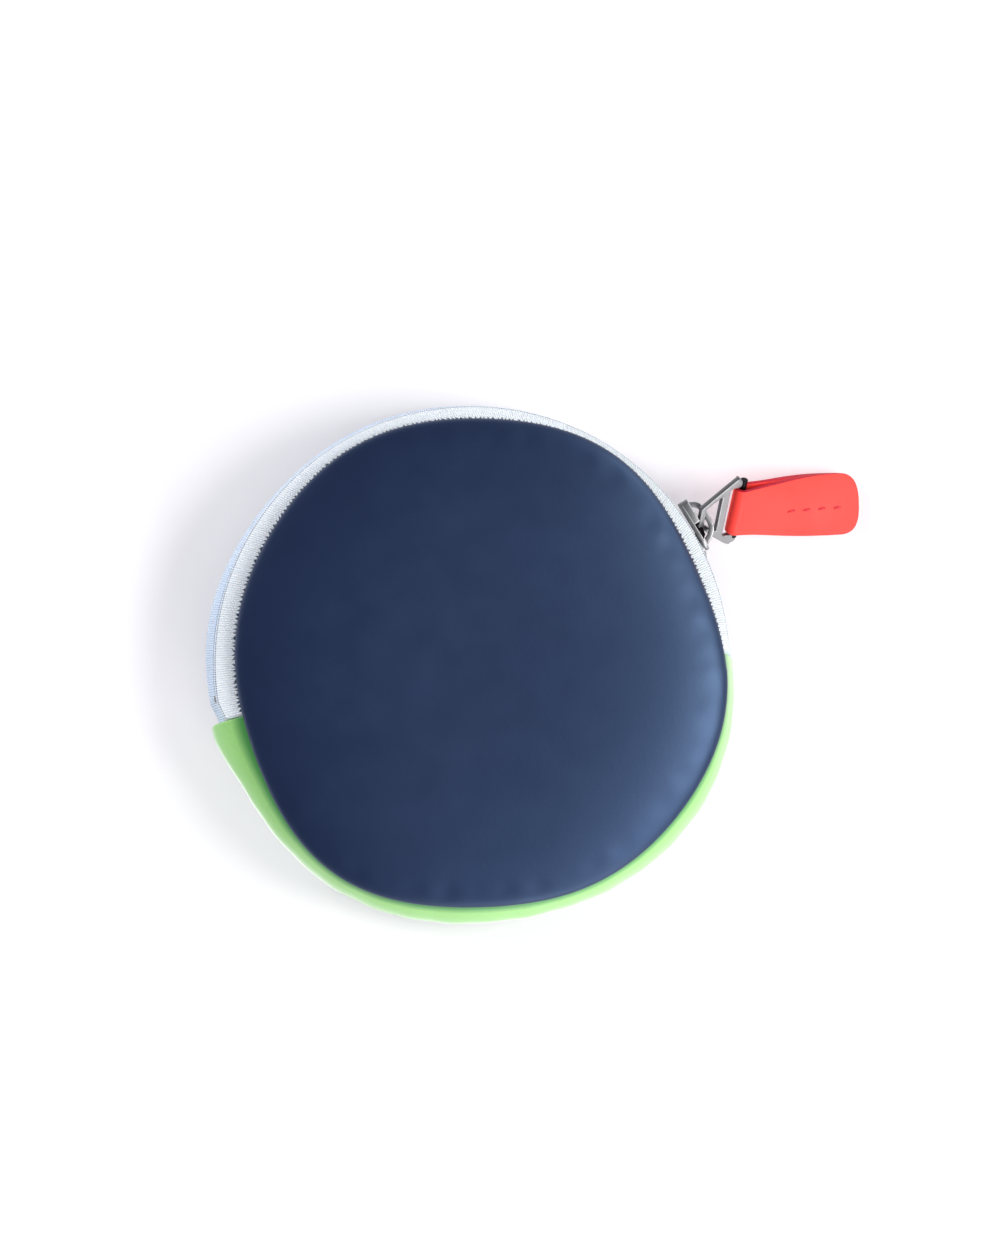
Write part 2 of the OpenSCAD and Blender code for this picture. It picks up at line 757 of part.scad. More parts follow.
module strap_body() {
    function section(x) = let (
        w = strap_half_w(x),
        h = strap_half_t(x),
        e = min(w, h) * strap_edge_share
    ) [
        strap_point(x, w - e, h), strap_point(x, w, h - e),
        strap_point(x, w, e - h), strap_point(x, w - e, -h),
        strap_point(x, e - w, -h), strap_point(x, -w, e - h),
        strap_point(x, -w, h - e), strap_point(x, e - w, h)
    ];
    ring_loft([for (s = strap_ring_shares) section(s * strap_length)]);
}

module pull_strap() {
    color([1, 0.36, 0.34])
        in_strap()
            difference() {
                union() {
                    strap_body();
                    rotate([90, 0, 0]) cylinder(r = loop_r, h = strap_root_w, center = true);
                }
                rotate([90, 0, 0])
                    cylinder(d = bar_d + 2 * loop_gap, h = strap_root_w + 2 * overrun, center = true);
            }
}

module strap_stitches() {
    color([0.85, 0.12, 0.14])
        in_strap()
            for (i = [0 : stitch_count - 1]) {
                x = strap_length * first_stitch_share + stitch_spacing * i;
                top = strap_half_t(x) + stitch_d / 2 + layer_gap;
                rotate([strap_turn(x), 0, 0])
                    translate([x - stitch_length / 2, strap_w * stitch_side_share, top])
                        rotate([0, 90, 0])
                            cylinder(d = stitch_d, h = stitch_length);
            }
}

front_panel_upper();
front_panel_lower();
front_padding_upper();
front_padding_lower();
front_lining_upper();
front_lining_lower();
front_binding_upper();
front_binding_lower();
back_panel();
back_padding();
back_lining();
back_binding();
gusset();
gusset_lining();
front_zip_tape();
back_zip_tape();
front_zip_coil();
back_zip_coil();
front_top_stop();
back_top_stop();
bottom_stop();
zip_slider();
pull_ring();
pull_strap();
strap_stitches();
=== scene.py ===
"""Looks of the round zip pouch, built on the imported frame. All sizes below are in millimetres."""

import math

import bmesh
import bpy
import numpy as np
from mathutils import Matrix, Vector


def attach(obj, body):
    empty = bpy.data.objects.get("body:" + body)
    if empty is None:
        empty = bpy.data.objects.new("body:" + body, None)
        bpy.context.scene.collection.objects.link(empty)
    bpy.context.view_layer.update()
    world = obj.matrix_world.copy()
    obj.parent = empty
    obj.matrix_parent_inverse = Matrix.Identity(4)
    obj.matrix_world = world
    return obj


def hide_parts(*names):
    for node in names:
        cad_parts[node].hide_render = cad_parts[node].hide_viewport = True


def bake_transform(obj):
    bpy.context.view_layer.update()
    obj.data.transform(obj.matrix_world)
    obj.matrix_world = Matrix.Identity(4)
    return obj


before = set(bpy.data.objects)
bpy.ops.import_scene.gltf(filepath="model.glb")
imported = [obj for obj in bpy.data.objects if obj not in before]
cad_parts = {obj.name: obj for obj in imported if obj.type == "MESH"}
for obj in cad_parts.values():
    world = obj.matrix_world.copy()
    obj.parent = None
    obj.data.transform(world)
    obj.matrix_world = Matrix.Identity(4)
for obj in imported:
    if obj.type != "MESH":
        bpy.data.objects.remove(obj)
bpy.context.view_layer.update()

MM = 0.001
scene = bpy.context.scene

# Front and back, as in the part's source
POUCH_H = 25.5
FRONT_R = 46.64
FRONT_SHIFT_X = 1.2
FRONT_DOME_H = 5.0
BACK_R = 46.4
BACK_ROLL_H = 4.0
SIDE_R = 49.4
LEATHER_T = 1.2
FOAM_T = 3.0
LINING_T = 0.5
LAYER_GAP = 0.05
BINDING_W = 3.2
BINDING_T = 1.2
BINDING_ROUND = 0.4
DOME_POWER = 3.2
FOAM_FULL_SHARE = 0.75
FOAM_END_SHARE = 0.96
BACK_FLAT_SHARE = 0.75
# Shares of the radius where the discs' rows start and where the inner layers end
CENTRE_SHARE = 0.015
FRONT_INNER_END = 0.965
FRONT_FOAM_END = 0.945
FRONT_LINING_END = 0.972
BACK_INNER_END = 0.96
BACK_FOAM_END = 0.925
BACK_LINING_END = 0.965
BACK_LINING_TOP_Z = 4.25
# Rounded outer edges at the seams: insets, and heights over the front's and under the back's edge
RIM_INSETS = (0.0, 0.03, 0.14, 0.4, 0.85)
FRONT_RIM = (0.85, 0.5, 0.22, 0.05, 0.0)
BACK_RIM = (0.8, 0.45, 0.2, 0.05, 0.0)
# Puckers beside the front's seam
PUCKER_H = 0.07
PUCKER_AT = 0.94
PUCKER_SPREAD = 0.035
# Waves of the outlines: waves per turn, share of the radius and angle of a crest
FRONT_WAVES = [(2, 0.0062, -65), (3, 0.0081, -21), (4, 0.0137, -30), (6, 0.0099, -4.5)]
SIDE_WAVES = [
    (1, 0.0104, -111), (2, 0.013, -32), (3, 0.0083, -36),
    (4, 0.0088, -24), (5, 0.0053, -35), (6, 0.0037, -5),
]
# Flare at the gusset's left end: share of the radius, middle angle and spread
FLARE = (0.023, 197, 6)
FRONT_SEAM_Z = POUCH_H - FRONT_DOME_H
FRONT_EDGE_Z = FRONT_SEAM_Z - LEATHER_T
BACK_EDGE_Z = BACK_ROLL_H + LEATHER_T
SIDE_MIDDLE_Z = (FRONT_EDGE_Z + BACK_EDGE_Z) / 2
SIDE_HALF = (FRONT_EDGE_Z - BACK_EDGE_Z) / 2

# Zip
ZIP_R = 48.6
ZIP_Z = SIDE_MIDDLE_Z + 1.05
TAPE_T = 0.5
HALF_SLIT = 0.22
# Pulls of the zip on the front's seam: how far in, at which angle and over what spread
SEAM_PULLS = [(0.8, 168, 30), (0.4, 50, 50)]
FLAT_HALF = 3.79
# Places of a tape's first rows, from the middle of the zip
FLAT_ROWS = (HALF_SLIT + 0.4, 1.6, 2.8)
# Row of sewing on the tape, and half its width; its dark line is also painted shade for the groove between
# the tapes
SEWN_AT = 4.15
SEWN_HALF = 0.15
TAPE_RIB = 0.44
TAPE_STITCH = 0.5
# How far the tapes run on under the gusset, in degrees
TAPE_UNDER = 2.4
# How far before the gusset's end a tape starts to tuck in, and over what angle
TUCK_START = 0.5
TUCK_SPAN = 0.6
TUCK_GAP = 0.04
# Where the tapes are drawn in toward the left, and by what share of their radius
DRAW_START = 188.0
END_DRAW = 0.018
COIL_R = 47.4
COIL_HALF = 0.6
COIL_START = 25.9
COIL_END = 187.0
COIL_PITCH = 1.27
COIL_WIRE = 0.38
COIL_STEPS = 14
# Reach of a coil's turns from the middle of the zip: at the back, at the head and at a head held back
COIL_TOP = 1.6
COIL_HEAD = -0.16
COIL_HELD = 0.36
# Angles between which the heads are held back, where the slider rests and where it stops
HELD_RIGHT = (20, 32)
HELD_LEFT = (172, 186)
HELD_EASE = 2
STOP_L = 1.3
STOP_T = 0.35
# Places of the stops across the zip, from its middle
STOP_START = 0.05
STOP_END = 2.3
STOP_WEB = 0.35
END_STOP_WEB = 0.34

# Gusset
GUSSET_LEFT = 192.5
GUSSET_RIGHT = 2.7
LEFT_LEAN = 3.0
RIGHT_LEAN = -3.6
# Where the gusset turns from its round side to its seam, as a share of its height
TURN_SHARE = 0.74
LINED_SHARES = (0.16, TURN_SHARE)
GUSSET_RIPPLE = 0.1
GUSSET_FOOT_Z = BACK_EDGE_Z + LAYER_GAP
GUSSET_H = FRONT_EDGE_Z - LAYER_GAP - GUSSET_FOOT_Z
GUSSET_L = 140
# Rounding of its two ends: places from an end and what is cut from either face
END_STEPS = np.array([0.0, 0.06, 0.16, 0.35])
END_CUTS = np.array([0.26, 0.12, 0.03, 0.0])

# Slider. Shares count along its length from its tail
SLIDER_ANGLE = 31.8
SLIDER_L = 10.3
SLIDER_W = 7.4
TAIL_W = 0.86 * SLIDER_W
PLATE_T = 1.0
THIN_PLATE_T = 0.7
NOSE_SHARE = 0.62
INNER_PLATE_T = 0.85
PLATE_CORNER = 0.5
FLANGE_T = 0.6
FLANGE_SHARES = (0.55, 0.03)
FLANGE_FOOT = 0.3
SLIDER_GAP = 0.18
WEDGE_W = 0.6
BLOCK_SHARE = 0.48
BLOCK_T = 1.9
BLOCK_CORNER = 0.6
BRIDGE_H = 2.95
BRIDGE_T = 1.0
BRIDGE_W = 1.9
# Outlines of the bridge and of the spring in it: heights over the plate and shares of the length
BRIDGE_OUTER = [
    (0, 0.05), (1.24, 0.085), (2.42, 0.16), (2.95, 0.27), (2.98, 0.45), (2.95, 0.62), (2.36, 0.75),
    (1.33, 0.845), (0, 0.915),
]
BRIDGE_INNER = [
    (0, 0.165), (1.17, 0.19), (1.79, 0.25), (1.95, 0.31), (1.97, 0.45), (1.95, 0.59), (1.64, 0.67),
    (0.975, 0.745), (0, 0.79),
]
SPRING = [(0, 0.36), (0.9, 0.42), (1.0, 0.62), (0.75, 0.74), (0, 0.8)]
SPRING_HALF_W = 0.45

# Ring
RING_W = 14.9
APEX_W = 5.0
RING_T = 1.1
APEX_BAR_W = 1.1
APEX_REACH = 2.2
LEG_W = 1.2
CROSSBAR_X = 2.0
CROSSBAR_W = 1.6
BAR_X = 6.45
BAR_D = 1.5
EAR_R = 1.1
# How far the far and the near ear reach past the bar's middle, and the bar past the slot
EAR_ENDS = (-0.45, 0.45)
BAR_ENDS = (1.5, 0.95)
BAR_CHAMFER = 0.12
# Roll, pitch and yaw of the ring as it lies
RING_TURNS = (42.0, 28.0, -19.8)
RING_SHIFT = 0.9
RING_SEAT_SHARE = 0.022

# Strap
STRAP_L = 24.5
STRAP_ROUND = 4.8
STRAP_END_POWER = 3.0
STRAP_ROOT_W = 10.4
STRAP_W = 11.7
STRAP_FULL_SHARE = 0.65
STRAP_T = 1.15
STRAP_SOFT = 0.28
SKIVED_T = 0.85
SKIVE_L = 9.0
LOOP_L = 13.0
LOOP_GAP = 0.08
STRAP_LIFT = 9.6
STRAP_YAW = -0.6
STRAP_BEND = -4.0
STRAP_TWIST = 38.5
STITCH_COUNT = 4
STITCH_START = 0.43 * STRAP_L
STITCH_SIDE = -0.06 * STRAP_W
STITCH_SLANT = 0.08
STITCH_DIVE = 0.42
STITCH_L = 1.7
STITCH_D = 0.5
STITCH_PITCH = 3.15

# Photograph: its height in pixels, the size of one, and what lies in its middle
PHOTO_H = 1250
PIXEL = 0.1887
VIEW_CENTRE = (5.32, 7.36)
LENS = 300.0
SENSOR = 36.0

# Floor and background
FLOOR_REACH = 3000
FLOOR_DROP = 0.02
FLOOR_WHITE = 0.32
WORLD_COLOUR = (0.96, 0.94, 1.0, 1)
WORLD_STRENGTH = 0.26

# Shades inside the materials
WHITE = (1.0, 1.0, 1.0)
CREASE_SHADE = (0.82, 0.82, 0.82)
# Dark line of the sewing row, also painted shade for the groove between the tapes
SEWING_AND_GROOVE_SHADE = (0.1, 0.19, 0.34)
# Painted shadow on the tapes where they go under the leather
PAINTED_SEAM_SHADOW = (0.02, 0.05, 0.1)
# Near-black for bits of metal that stand in for shade: painted shade
PAINTED_SHADE_BLACK = (0.012, 0.01, 0.012)


def wave_sum(waves, a):
    """Waves of an outline at an angle, as a share of its radius."""
    return sum(share * np.cos(np.radians(k * (a - phase))) for k, share, phase in waves)


def front_radius(a):
    """Radius of the front's edge at an angle."""
    pulls = sum(pull * np.exp(-(((a - middle) / spread) ** 2)) for pull, middle, spread in SEAM_PULLS)
    return FRONT_R * (1 + wave_sum(FRONT_WAVES, a)) - pulls


def side_radius(a):
    """Radius of the side where it bulges most."""
    share, middle, spread = FLARE
    return SIDE_R * (1 + wave_sum(SIDE_WAVES, a) + share * np.exp(-(((a - middle) / spread) ** 2)))


def polar(a, r, z, shift=0.0):
    """Points at angles and radii, round a middle that is shifted along X."""
    t = np.radians(a)
    return np.stack(np.broadcast_arrays(shift + r * np.cos(t), r * np.sin(t), z), axis=-1)


def dome_height(s):
    """Height of the front's dome over its seam, at a share of the radius."""
    return FRONT_DOME_H * np.sqrt(np.clip(1 - np.power(s, DOME_POWER), 0, None))


def foam_height(s):
    """Thickness of the foam, which thins out toward the seam."""
    fall = (s - FOAM_FULL_SHARE) / (FOAM_END_SHARE - FOAM_FULL_SHARE)
    return FOAM_T * np.clip(1 - np.clip(fall, 0, 1) ** 2, 0, 1)


def back_height(s):
    """Height of the back's outer face, which rolls up to its seam."""
    roll = np.clip((s - BACK_FLAT_SHARE) / (1 - BACK_FLAT_SHARE), 0, 1)
    return BACK_ROLL_H * (1 - np.sqrt(1 - roll**2))


def ease(t):
    """Soft step from 0 to 1."""
    c = np.clip(t, 0, 1)
    return c * c * (3 - 2 * c)


def curve_through(points, per=6):
    """Smooth curve through points, with per steps between two of them."""
    p = np.asarray(points, float)
    p = np.vstack([2 * p[0] - p[1], p, 2 * p[-1] - p[-2]])
    out = []
    for i in range(1, len(p) - 2):
        for k in range(per):
            t = k / per
            a, b, c, d = p[i - 1 : i + 3]
            square, cube = 2 * a - 5 * b + 4 * c - d, 3 * b - a - 3 * c + d
            out.append(0.5 * (2 * b + (c - a) * t + square * t**2 + cube * t**3))
    out.append(p[-2])
    return np.array(out)


# Mesh helpers


def finish_mesh(name, mesh, mat, sharp=35):
    """Object with outward normals, smooth shading and its rest place kept for its material."""
    bm = bmesh.new()
    bm.from_mesh(mesh)
    bmesh.ops.recalc_face_normals(bm, faces=bm.faces)
    bm.to_mesh(mesh)
    bm.free()
    co = np.zeros(len(mesh.vertices) * 3, np.float32)
    mesh.vertices.foreach_get("co", co)
    rest = mesh.attributes.new("rest", "FLOAT_VECTOR", "POINT")
    rest.data.foreach_set("vector", co)
    mesh.shade_smooth()
    mesh.set_sharp_from_angle(angle=math.radians(sharp))
    mesh.materials.clear()
    mesh.materials.append(mat)
    obj = bpy.data.objects.new(name, mesh)
    scene.collection.objects.link(obj)
    return obj


def surface_mesh(name, grid, close_u=False, close_v=True, caps=True, u=None, v=None):
    """Mesh through a grid of points. u and v, where given, are kept as its lengths along and across."""
    grid = np.asarray(grid, float) * MM
    m, n = grid.shape[:2]
    rows = m if close_u else m - 1
    cols = n if close_v else n - 1
    faces = []
    for i in range(rows):
        for j in range(cols):
            i1, j1 = (i + 1) % m, (j + 1) % n
            faces.append((i * n + j, i1 * n + j, i1 * n + j1, i * n + j1))
    quads = len(faces)
    if caps and not close_u:
        faces.append(tuple(reversed(range(n))))
        faces.append(tuple((m - 1) * n + j for j in range(n)))
    mesh = bpy.data.meshes.new(name)
    mesh.from_pydata(grid.reshape(-1, 3).tolist(), [], faces)
    if u is not None:
        layer = mesh.uv_layers.new(name="lengths")
        flat = np.zeros((len(mesh.loops), 2), np.float32)
        for q in range(quads):
            i, j = divmod(q, cols)
            u0, u1, v0, v1 = u[i], u[i + 1], v[j], v[j + 1]
            flat[4 * q : 4 * q + 4] = ((u0, v0), (u1, v0), (u1, v1), (u0, v1))
        layer.data.foreach_set("uv", flat.ravel())
    return mesh


def surface(name, grid, mat, sharp=35, **options):
    """Finished object through a grid of points."""
    return finish_mesh(name, surface_mesh(name, grid, **options), mat, sharp)


def tube(points, radius, sides):
    """Grid of rings round a path."""
    p = np.asarray(points, float)
    tangent = np.gradient(p, axis=0)
    tangent /= np.linalg.norm(tangent, axis=1)[:, None]
    side = np.zeros_like(p)
    start = np.cross(tangent[0], (0.3, 0.2, 1.0))
    side[0] = start / np.linalg.norm(start)
    for i in range(1, len(p)):
        s = side[i - 1] - tangent[i] * (side[i - 1] @ tangent[i])
        side[i] = s / np.linalg.norm(s)
    up = np.cross(tangent, side)
    r = np.broadcast_to(np.asarray(radius, float), len(p))[:, None]
    turns = np.arange(sides) * 2 * math.pi / sides
    return np.stack([p + r * (math.cos(t) * side + math.sin(t) * up) for t in turns], axis=1)


def prism_mesh(outline, low, high, bevel=0.0, segments=3):
    """Plate with a flat outline in X and Y, from low to high, with rounded edges."""
    bm = bmesh.new()
    base = [bm.verts.new((x * MM, y * MM, low * MM)) for x, y in outline]
    face = bm.faces.new(base)
    top = bmesh.ops.extrude_face_region(bm, geom=[face])["geom"]
    moved = [e for e in top if isinstance(e, bmesh.types.BMVert)]
    bmesh.ops.translate(bm, verts=moved, vec=(0, 0, (high - low) * MM))
    bmesh.ops.recalc_face_normals(bm, faces=bm.faces)
    if bevel:
        edges = [e for e in bm.edges if e.calc_face_angle(0) > math.radians(30)]
        bmesh.ops.bevel(
            bm, geom=edges, offset=bevel * MM, segments=segments, profile=0.5,
            affect="EDGES", clamp_overlap=True,
        )
    mesh = bpy.data.meshes.new("prism")
    bm.to_mesh(mesh)
    bm.free()
    return mesh


def joined(meshes_and_places):
    """One mesh of several, each put in its place by a matrix in metres."""
    bm = bmesh.new()
    for mesh, where in meshes_and_places:
        mesh.transform(where)
        bm.from_mesh(mesh)
    out = bpy.data.meshes.new("joined")
    bm.to_mesh(out)
    bm.free()
    return out


def blackened_as_shade(mesh):
    """Marks a metal mesh to be drawn near-black, as painted shade."""
    layer = mesh.attributes.new("shade_black_mark", "FLOAT", "POINT")
    layer.data.foreach_set("value", np.ones(len(mesh.vertices), np.float32))
    return mesh


def place(x=0.0, y=0.0, z=0.0):
    """Move by lengths in millimetres."""
    return Matrix.Translation((x * MM, y * MM, z * MM))


def turn(degrees, axis):
    """Turn about an axis through the origin."""
    return Matrix.Rotation(math.radians(degrees), 4, axis)


HERE = Matrix.Identity(4)


# Materials


class Shader:
    """A material's node tree, with short calls to add nodes and link them."""

    def __init__(self, name):
        self.mat = bpy.data.materials.new(name)
        self.mat.use_nodes = True
        self.tree = self.mat.node_tree
        self.shader = self.tree.nodes["Principled BSDF"]

    def add(self, kind, inputs=None, out=0, **settings):
        """Output of a new node with these inputs and settings."""
        node = self.tree.nodes.new("ShaderNode" + kind)
        for key, value in settings.items():
            setattr(node, key, value)
        for key, value in (inputs or {}).items():
            self.put(node.inputs[key], value)
        return node.outputs[out]

    def put(self, socket, value):
        if isinstance(value, bpy.types.NodeSocket):
            self.tree.links.new(value, socket)
        else:
            socket.default_value = value

    def math(self, operation, a, b=0.0, c=0.0):
        return self.add("Math", {0: a, 1: b, 2: c}, operation=operation)

    def rest(self):
        """Place at rest, in metres."""
        return self.add("Attribute", out=1, attribute_name="rest")

    def noise(self, vector, scale, detail=3.0, roughness=0.5):
        """Soft noise, from 0 to 1."""
        inputs = {"Vector": vector, "Scale": scale, "Detail": detail, "Roughness": roughness}
        return self.add("TexNoise", inputs)

    def ramp(self, value, stops):
        """Colour of a value, blended between stops."""
        node = self.tree.nodes.new("ShaderNodeValToRGB")
        while len(node.color_ramp.elements) < len(stops):
            node.color_ramp.elements.new(0.5)
        for element, (at, colour) in zip(node.color_ramp.elements, stops):
            element.position = at
            element.color = (*colour, 1)
        self.put(node.inputs[0], value)
        return node.outputs[0]

    def mix(self, factor, a, b, **settings):
        """Colour a turning into colour b."""
        b = b if isinstance(b, bpy.types.NodeSocket) else (*b, 1)
        return self.add("Mix", {0: factor, 6: a, 7: b}, out=2, data_type="RGBA", **settings)

    def hump(self, value):
        """Half a sine wave for each unit of a value."""
        return self.math("SINE", self.math("MULTIPLY", self.math("FRACT", value), math.pi))

    def split(self, vector):
        """The X, Y and Z of a vector."""
        node = self.tree.nodes.new("ShaderNodeSeparateXYZ")
        self.put(node.inputs[0], vector)
        return node.outputs

    def spread(self, value, low, high, start=0.0, end=1.0):
        """From low to high while a value goes from start to end."""
        return self.add("MapRange", {0: value, 1: start, 2: end, 3: low, 4: high})

    def bump(self, height, strength, distance):
        """Normal of a height, with its depth in millimetres."""
        return self.add("Bump", {"Height": height, "Strength": strength, "Distance": distance * MM})

    def end(self, **inputs):
        """The material, with these inputs of its surface."""
        for key, value in inputs.items():
            self.put(self.shader.inputs[key.replace("_", " ")], value)
        return self.mat


def height_from_middle(s):
    """Height above or below the middle between the two seams."""
    return s.math("ABSOLUTE", s.math("SUBTRACT", s.split(s.rest())[2], SIDE_MIDDLE_Z * MM))


def toward_seam(s, height, far, near, low, high):
    """From low, at a distance far from a seam, to high, at a distance near it."""
    return s.spread(height, low, high, (SIDE_HALF - far) * MM, (SIDE_HALF - near) * MM)


def leather(name, dark, light, rough, grain, gloss, shine, edge=None, seam=None, nap=0.0, pale=None):
    """Finely grained leather. edge darkens its cut edges, as edge dye and painted shade; seam is a painted
    shadow next to the seams, and pale a painted highlight between them.
    """
    s = Shader(name)
    rest = s.rest()
    cells = s.add("TexVoronoi", {"Vector": rest, "Scale": 1500.0, "Randomness": 1.0}, feature="SMOOTH_F1")
    fine = s.noise(rest, 3800.0, 3.0)
    pebble = s.math("MULTIPLY_ADD", fine, 0.45, cells)
    cloud = s.noise(rest, 55.0, 4.0, 0.6)
    colour = s.ramp(cloud, [(0.3, dark), (0.7, light)])
    creases = s.ramp(cells, [(0.45, WHITE), (0.95, CREASE_SHADE)])
    tinted = s.mix(0.5, colour, creases, blend_type="MULTIPLY")
    # Darker cut edges: edge dye, and painted shade for the edge of the strap's lower layer
    if edge:
        across = s.split(s.add("UVMap", uv_map="lengths"))[1]
        tinted = s.mix(s.spread(across, 0.0, 1.0, 0.45, 0.75), tinted, edge)
    # Painted highlight: paler away from the seams, where the side faces the light
    if pale:
        tinted = s.mix(toward_seam(s, height_from_middle(s), 5.0, 1.6, 1.0, 0.0), tinted, pale)
    # Painted shadow: darker next to the seams, under the front's overhanging edge
    if seam:
        tinted = s.mix(toward_seam(s, height_from_middle(s), 1.5, 0.5, 0.0, 0.95), tinted, seam)
    wide = s.noise(rest, 160.0, 3.0)
    bumped = s.bump(pebble, grain, 0.12)
    uneven = s.add("Bump", {"Height": wide, "Strength": 0.04, "Distance": 0.5 * MM, "Normal": bumped})
    return s.end(
        Base_Color=tinted, Roughness=s.spread(wide, rough - 0.06, rough + 0.08), Normal=uneven,
        Specular_IOR_Level=gloss, Specular_Tint=(*shine, 1), Sheen_Weight=nap, Sheen_Roughness=0.35,
    )


def woven_tape(name, dark, light):
    """Ribs across the tape, broken into small stitches, with a darker line along each row of sewing that is
    also painted shade for the groove between the tapes, and painted shadow where the tape goes under the
    leather.
    """
    s = Shader(name)
    run, width, _ = s.split(s.add("UVMap", uv_map="lengths"))
    fuzz = s.noise(s.rest(), 1500.0, 5.0, 0.75)
    along = s.math("DIVIDE", s.math("MULTIPLY_ADD", fuzz, 0.5, run), TAPE_RIB)
    across = s.math("DIVIDE", width, TAPE_STITCH)
    odd = s.math("MULTIPLY", s.math("FLOORED_MODULO", s.math("FLOOR", along), 2.0), 0.5)
    ribs = s.hump(along)
    knots = s.hump(s.math("ADD", across, odd))
    height = s.math("MULTIPLY", ribs, s.math("MULTIPLY_ADD", knots, 0.6, 0.4))
    height = s.math("MULTIPLY_ADD", fuzz, 0.5, height)
    colour = s.ramp(height, [(0.15, dark), (0.7, light)])
    # Row of sewing, darker between the ribs: real sewing and painted shade for the groove between the tapes
    sewn_line_and_groove_shade = s.math("MULTIPLY", s.math("COMPARE", width, SEWN_AT, SEWN_HALF), s.spread(ribs, 0.9, 0.35))
    # Painted shadow: the tape is darkened where it goes under the leather, scalloped by the loops of the
    # weave
    uneven = s.math("MULTIPLY_ADD", s.noise(s.rest(), 700.0, 2.0), 1.6, run)
    loops = s.hump(s.math("DIVIDE", uneven, 2 * TAPE_RIB))
    scalloped = s.math("SUBTRACT", height_from_middle(s), s.math("MULTIPLY", loops, 0.26 * MM))
    colour = s.mix(sewn_line_and_groove_shade, colour, SEWING_AND_GROOVE_SHADE)
    colour = s.mix(toward_seam(s, scalloped, 0.42, 0.24, 0.0, 1.0), colour, PAINTED_SEAM_SHADOW)
    return s.end(
        Base_Color=colour, Roughness=0.85, Normal=s.bump(height, 0.9, 0.2), Specular_IOR_Level=0.2,
        Sheen_Weight=0.15, Sheen_Roughness=0.5,
    )


def cloth(name, dark, light, pitch=0.5):
    """Plain weave with slightly uneven threads."""
    s = Shader(name)
    x, y, z = s.split(s.rest())
    turns = 2 * math.pi / (pitch * MM)
    warp = s.math("SINE", s.math("MULTIPLY", x, turns))
    weft = s.math("SINE", s.math("MULTIPLY", s.math("ADD", y, z), turns))
    weave = s.math("MULTIPLY_ADD", s.math("MULTIPLY", warp, weft), 0.5, 0.5)
    slub = s.noise(s.rest(), 700.0, 4.0, 0.6)
    height = s.math("MULTIPLY_ADD", slub, 0.5, weave)
    colour = s.ramp(height, [(0.2, dark), (0.9, light)])
    return s.end(Base_Color=colour, Roughness=0.9, Normal=s.bump(height, 0.6, 0.12), Sheen_Weight=0.2)


def metal(name, shade, rough):
    """Satin plating with brush marks and duller patches. Where a mesh is marked, it is near-black instead:
    painted shade.
    """
    s = Shader(name)
    rest = s.rest()
    wear = s.noise(rest, 220.0, 3.0, 0.5)
    brushed = s.add("Mapping", {"Vector": rest, "Scale": (600, 5200, 900)})
    marks = s.noise(brushed, 1.0, 3.0)
    colour = s.ramp(wear, [(0.3, tuple(0.9 * c for c in shade)), (0.7, shade)])
    # Painted shade: marked meshes are near-black
    colour = s.mix(s.add("Attribute", out=2, attribute_name="shade_black_mark"), colour, PAINTED_SHADE_BLACK)
    return s.end(
        Base_Color=colour, Metallic=1.0, Roughness=s.spread(marks, rough - 0.04, rough + 0.08),
        Normal=s.bump(marks, 0.025, 0.03),
    )


def nylon(name, dark, light):
    """Smooth nylon wire."""
    s = Shader(name)
    colour = s.ramp(s.noise(s.rest(), 500.0), [(0.3, dark), (0.7, light)])
    return s.end(Base_Color=colour, Roughness=0.35, Normal=s.bump(s.noise(s.rest(), 2000.0), 0.15, 0.05))


def foam_sheet(name, dark, light):
    """Open cells of a foam sheet."""
    s = Shader(name)
    cells = s.add("TexVoronoi", {"Vector": s.rest(), "Scale": 1300.0})
    colour = s.ramp(cells, [(0.1, dark), (0.6, light)])
    return s.end(Base_Color=colour, Roughness=0.95, Normal=s.bump(cells, 0.7, 0.3))


def thread(name, dark, light):
    """Twisted sewing thread."""
    s = Shader(name)
    twist = {"Vector": s.rest(), "Scale": 900.0, "Distortion": 1.5}
    ply = s.add("TexWave", twist, out=1, bands_direction="DIAGONAL")
    colour = s.ramp(ply, [(0.2, dark), (0.8, light)])
    return s.end(Base_Color=colour, Roughness=0.7, Normal=s.bump(ply, 0.6, 0.1))


navy_leather = leather(
    "navy_leather", (0.0034, 0.0076, 0.032), (0.0041, 0.009, 0.037), 0.45, 0.08, 0.9, (0.4, 0.62, 1.0)
)
# The gusset has a painted shadow next to its seams and a painted highlight between them
green_leather = leather(
    "green_leather", (0.25, 0.55, 0.15), (0.29, 0.61, 0.18), 0.5, 0.08, 0.9, WHITE,
    seam=(0.03, 0.24, 0.04), nap=0.9, pale=(0.36, 0.66, 0.27),
)
# The strap's dark cut edges are edge dye and painted shade
red_leather = leather(
    "red_leather", (0.93, 0.055, 0.042), (1.0, 0.07, 0.053), 0.5, 0.06, 0.2, WHITE,
    edge=(0.5, 0.008, 0.025),
)
tape_cloth = woven_tape("tape_cloth", (0.55, 0.76, 0.95), (0.95, 0.99, 1.0))
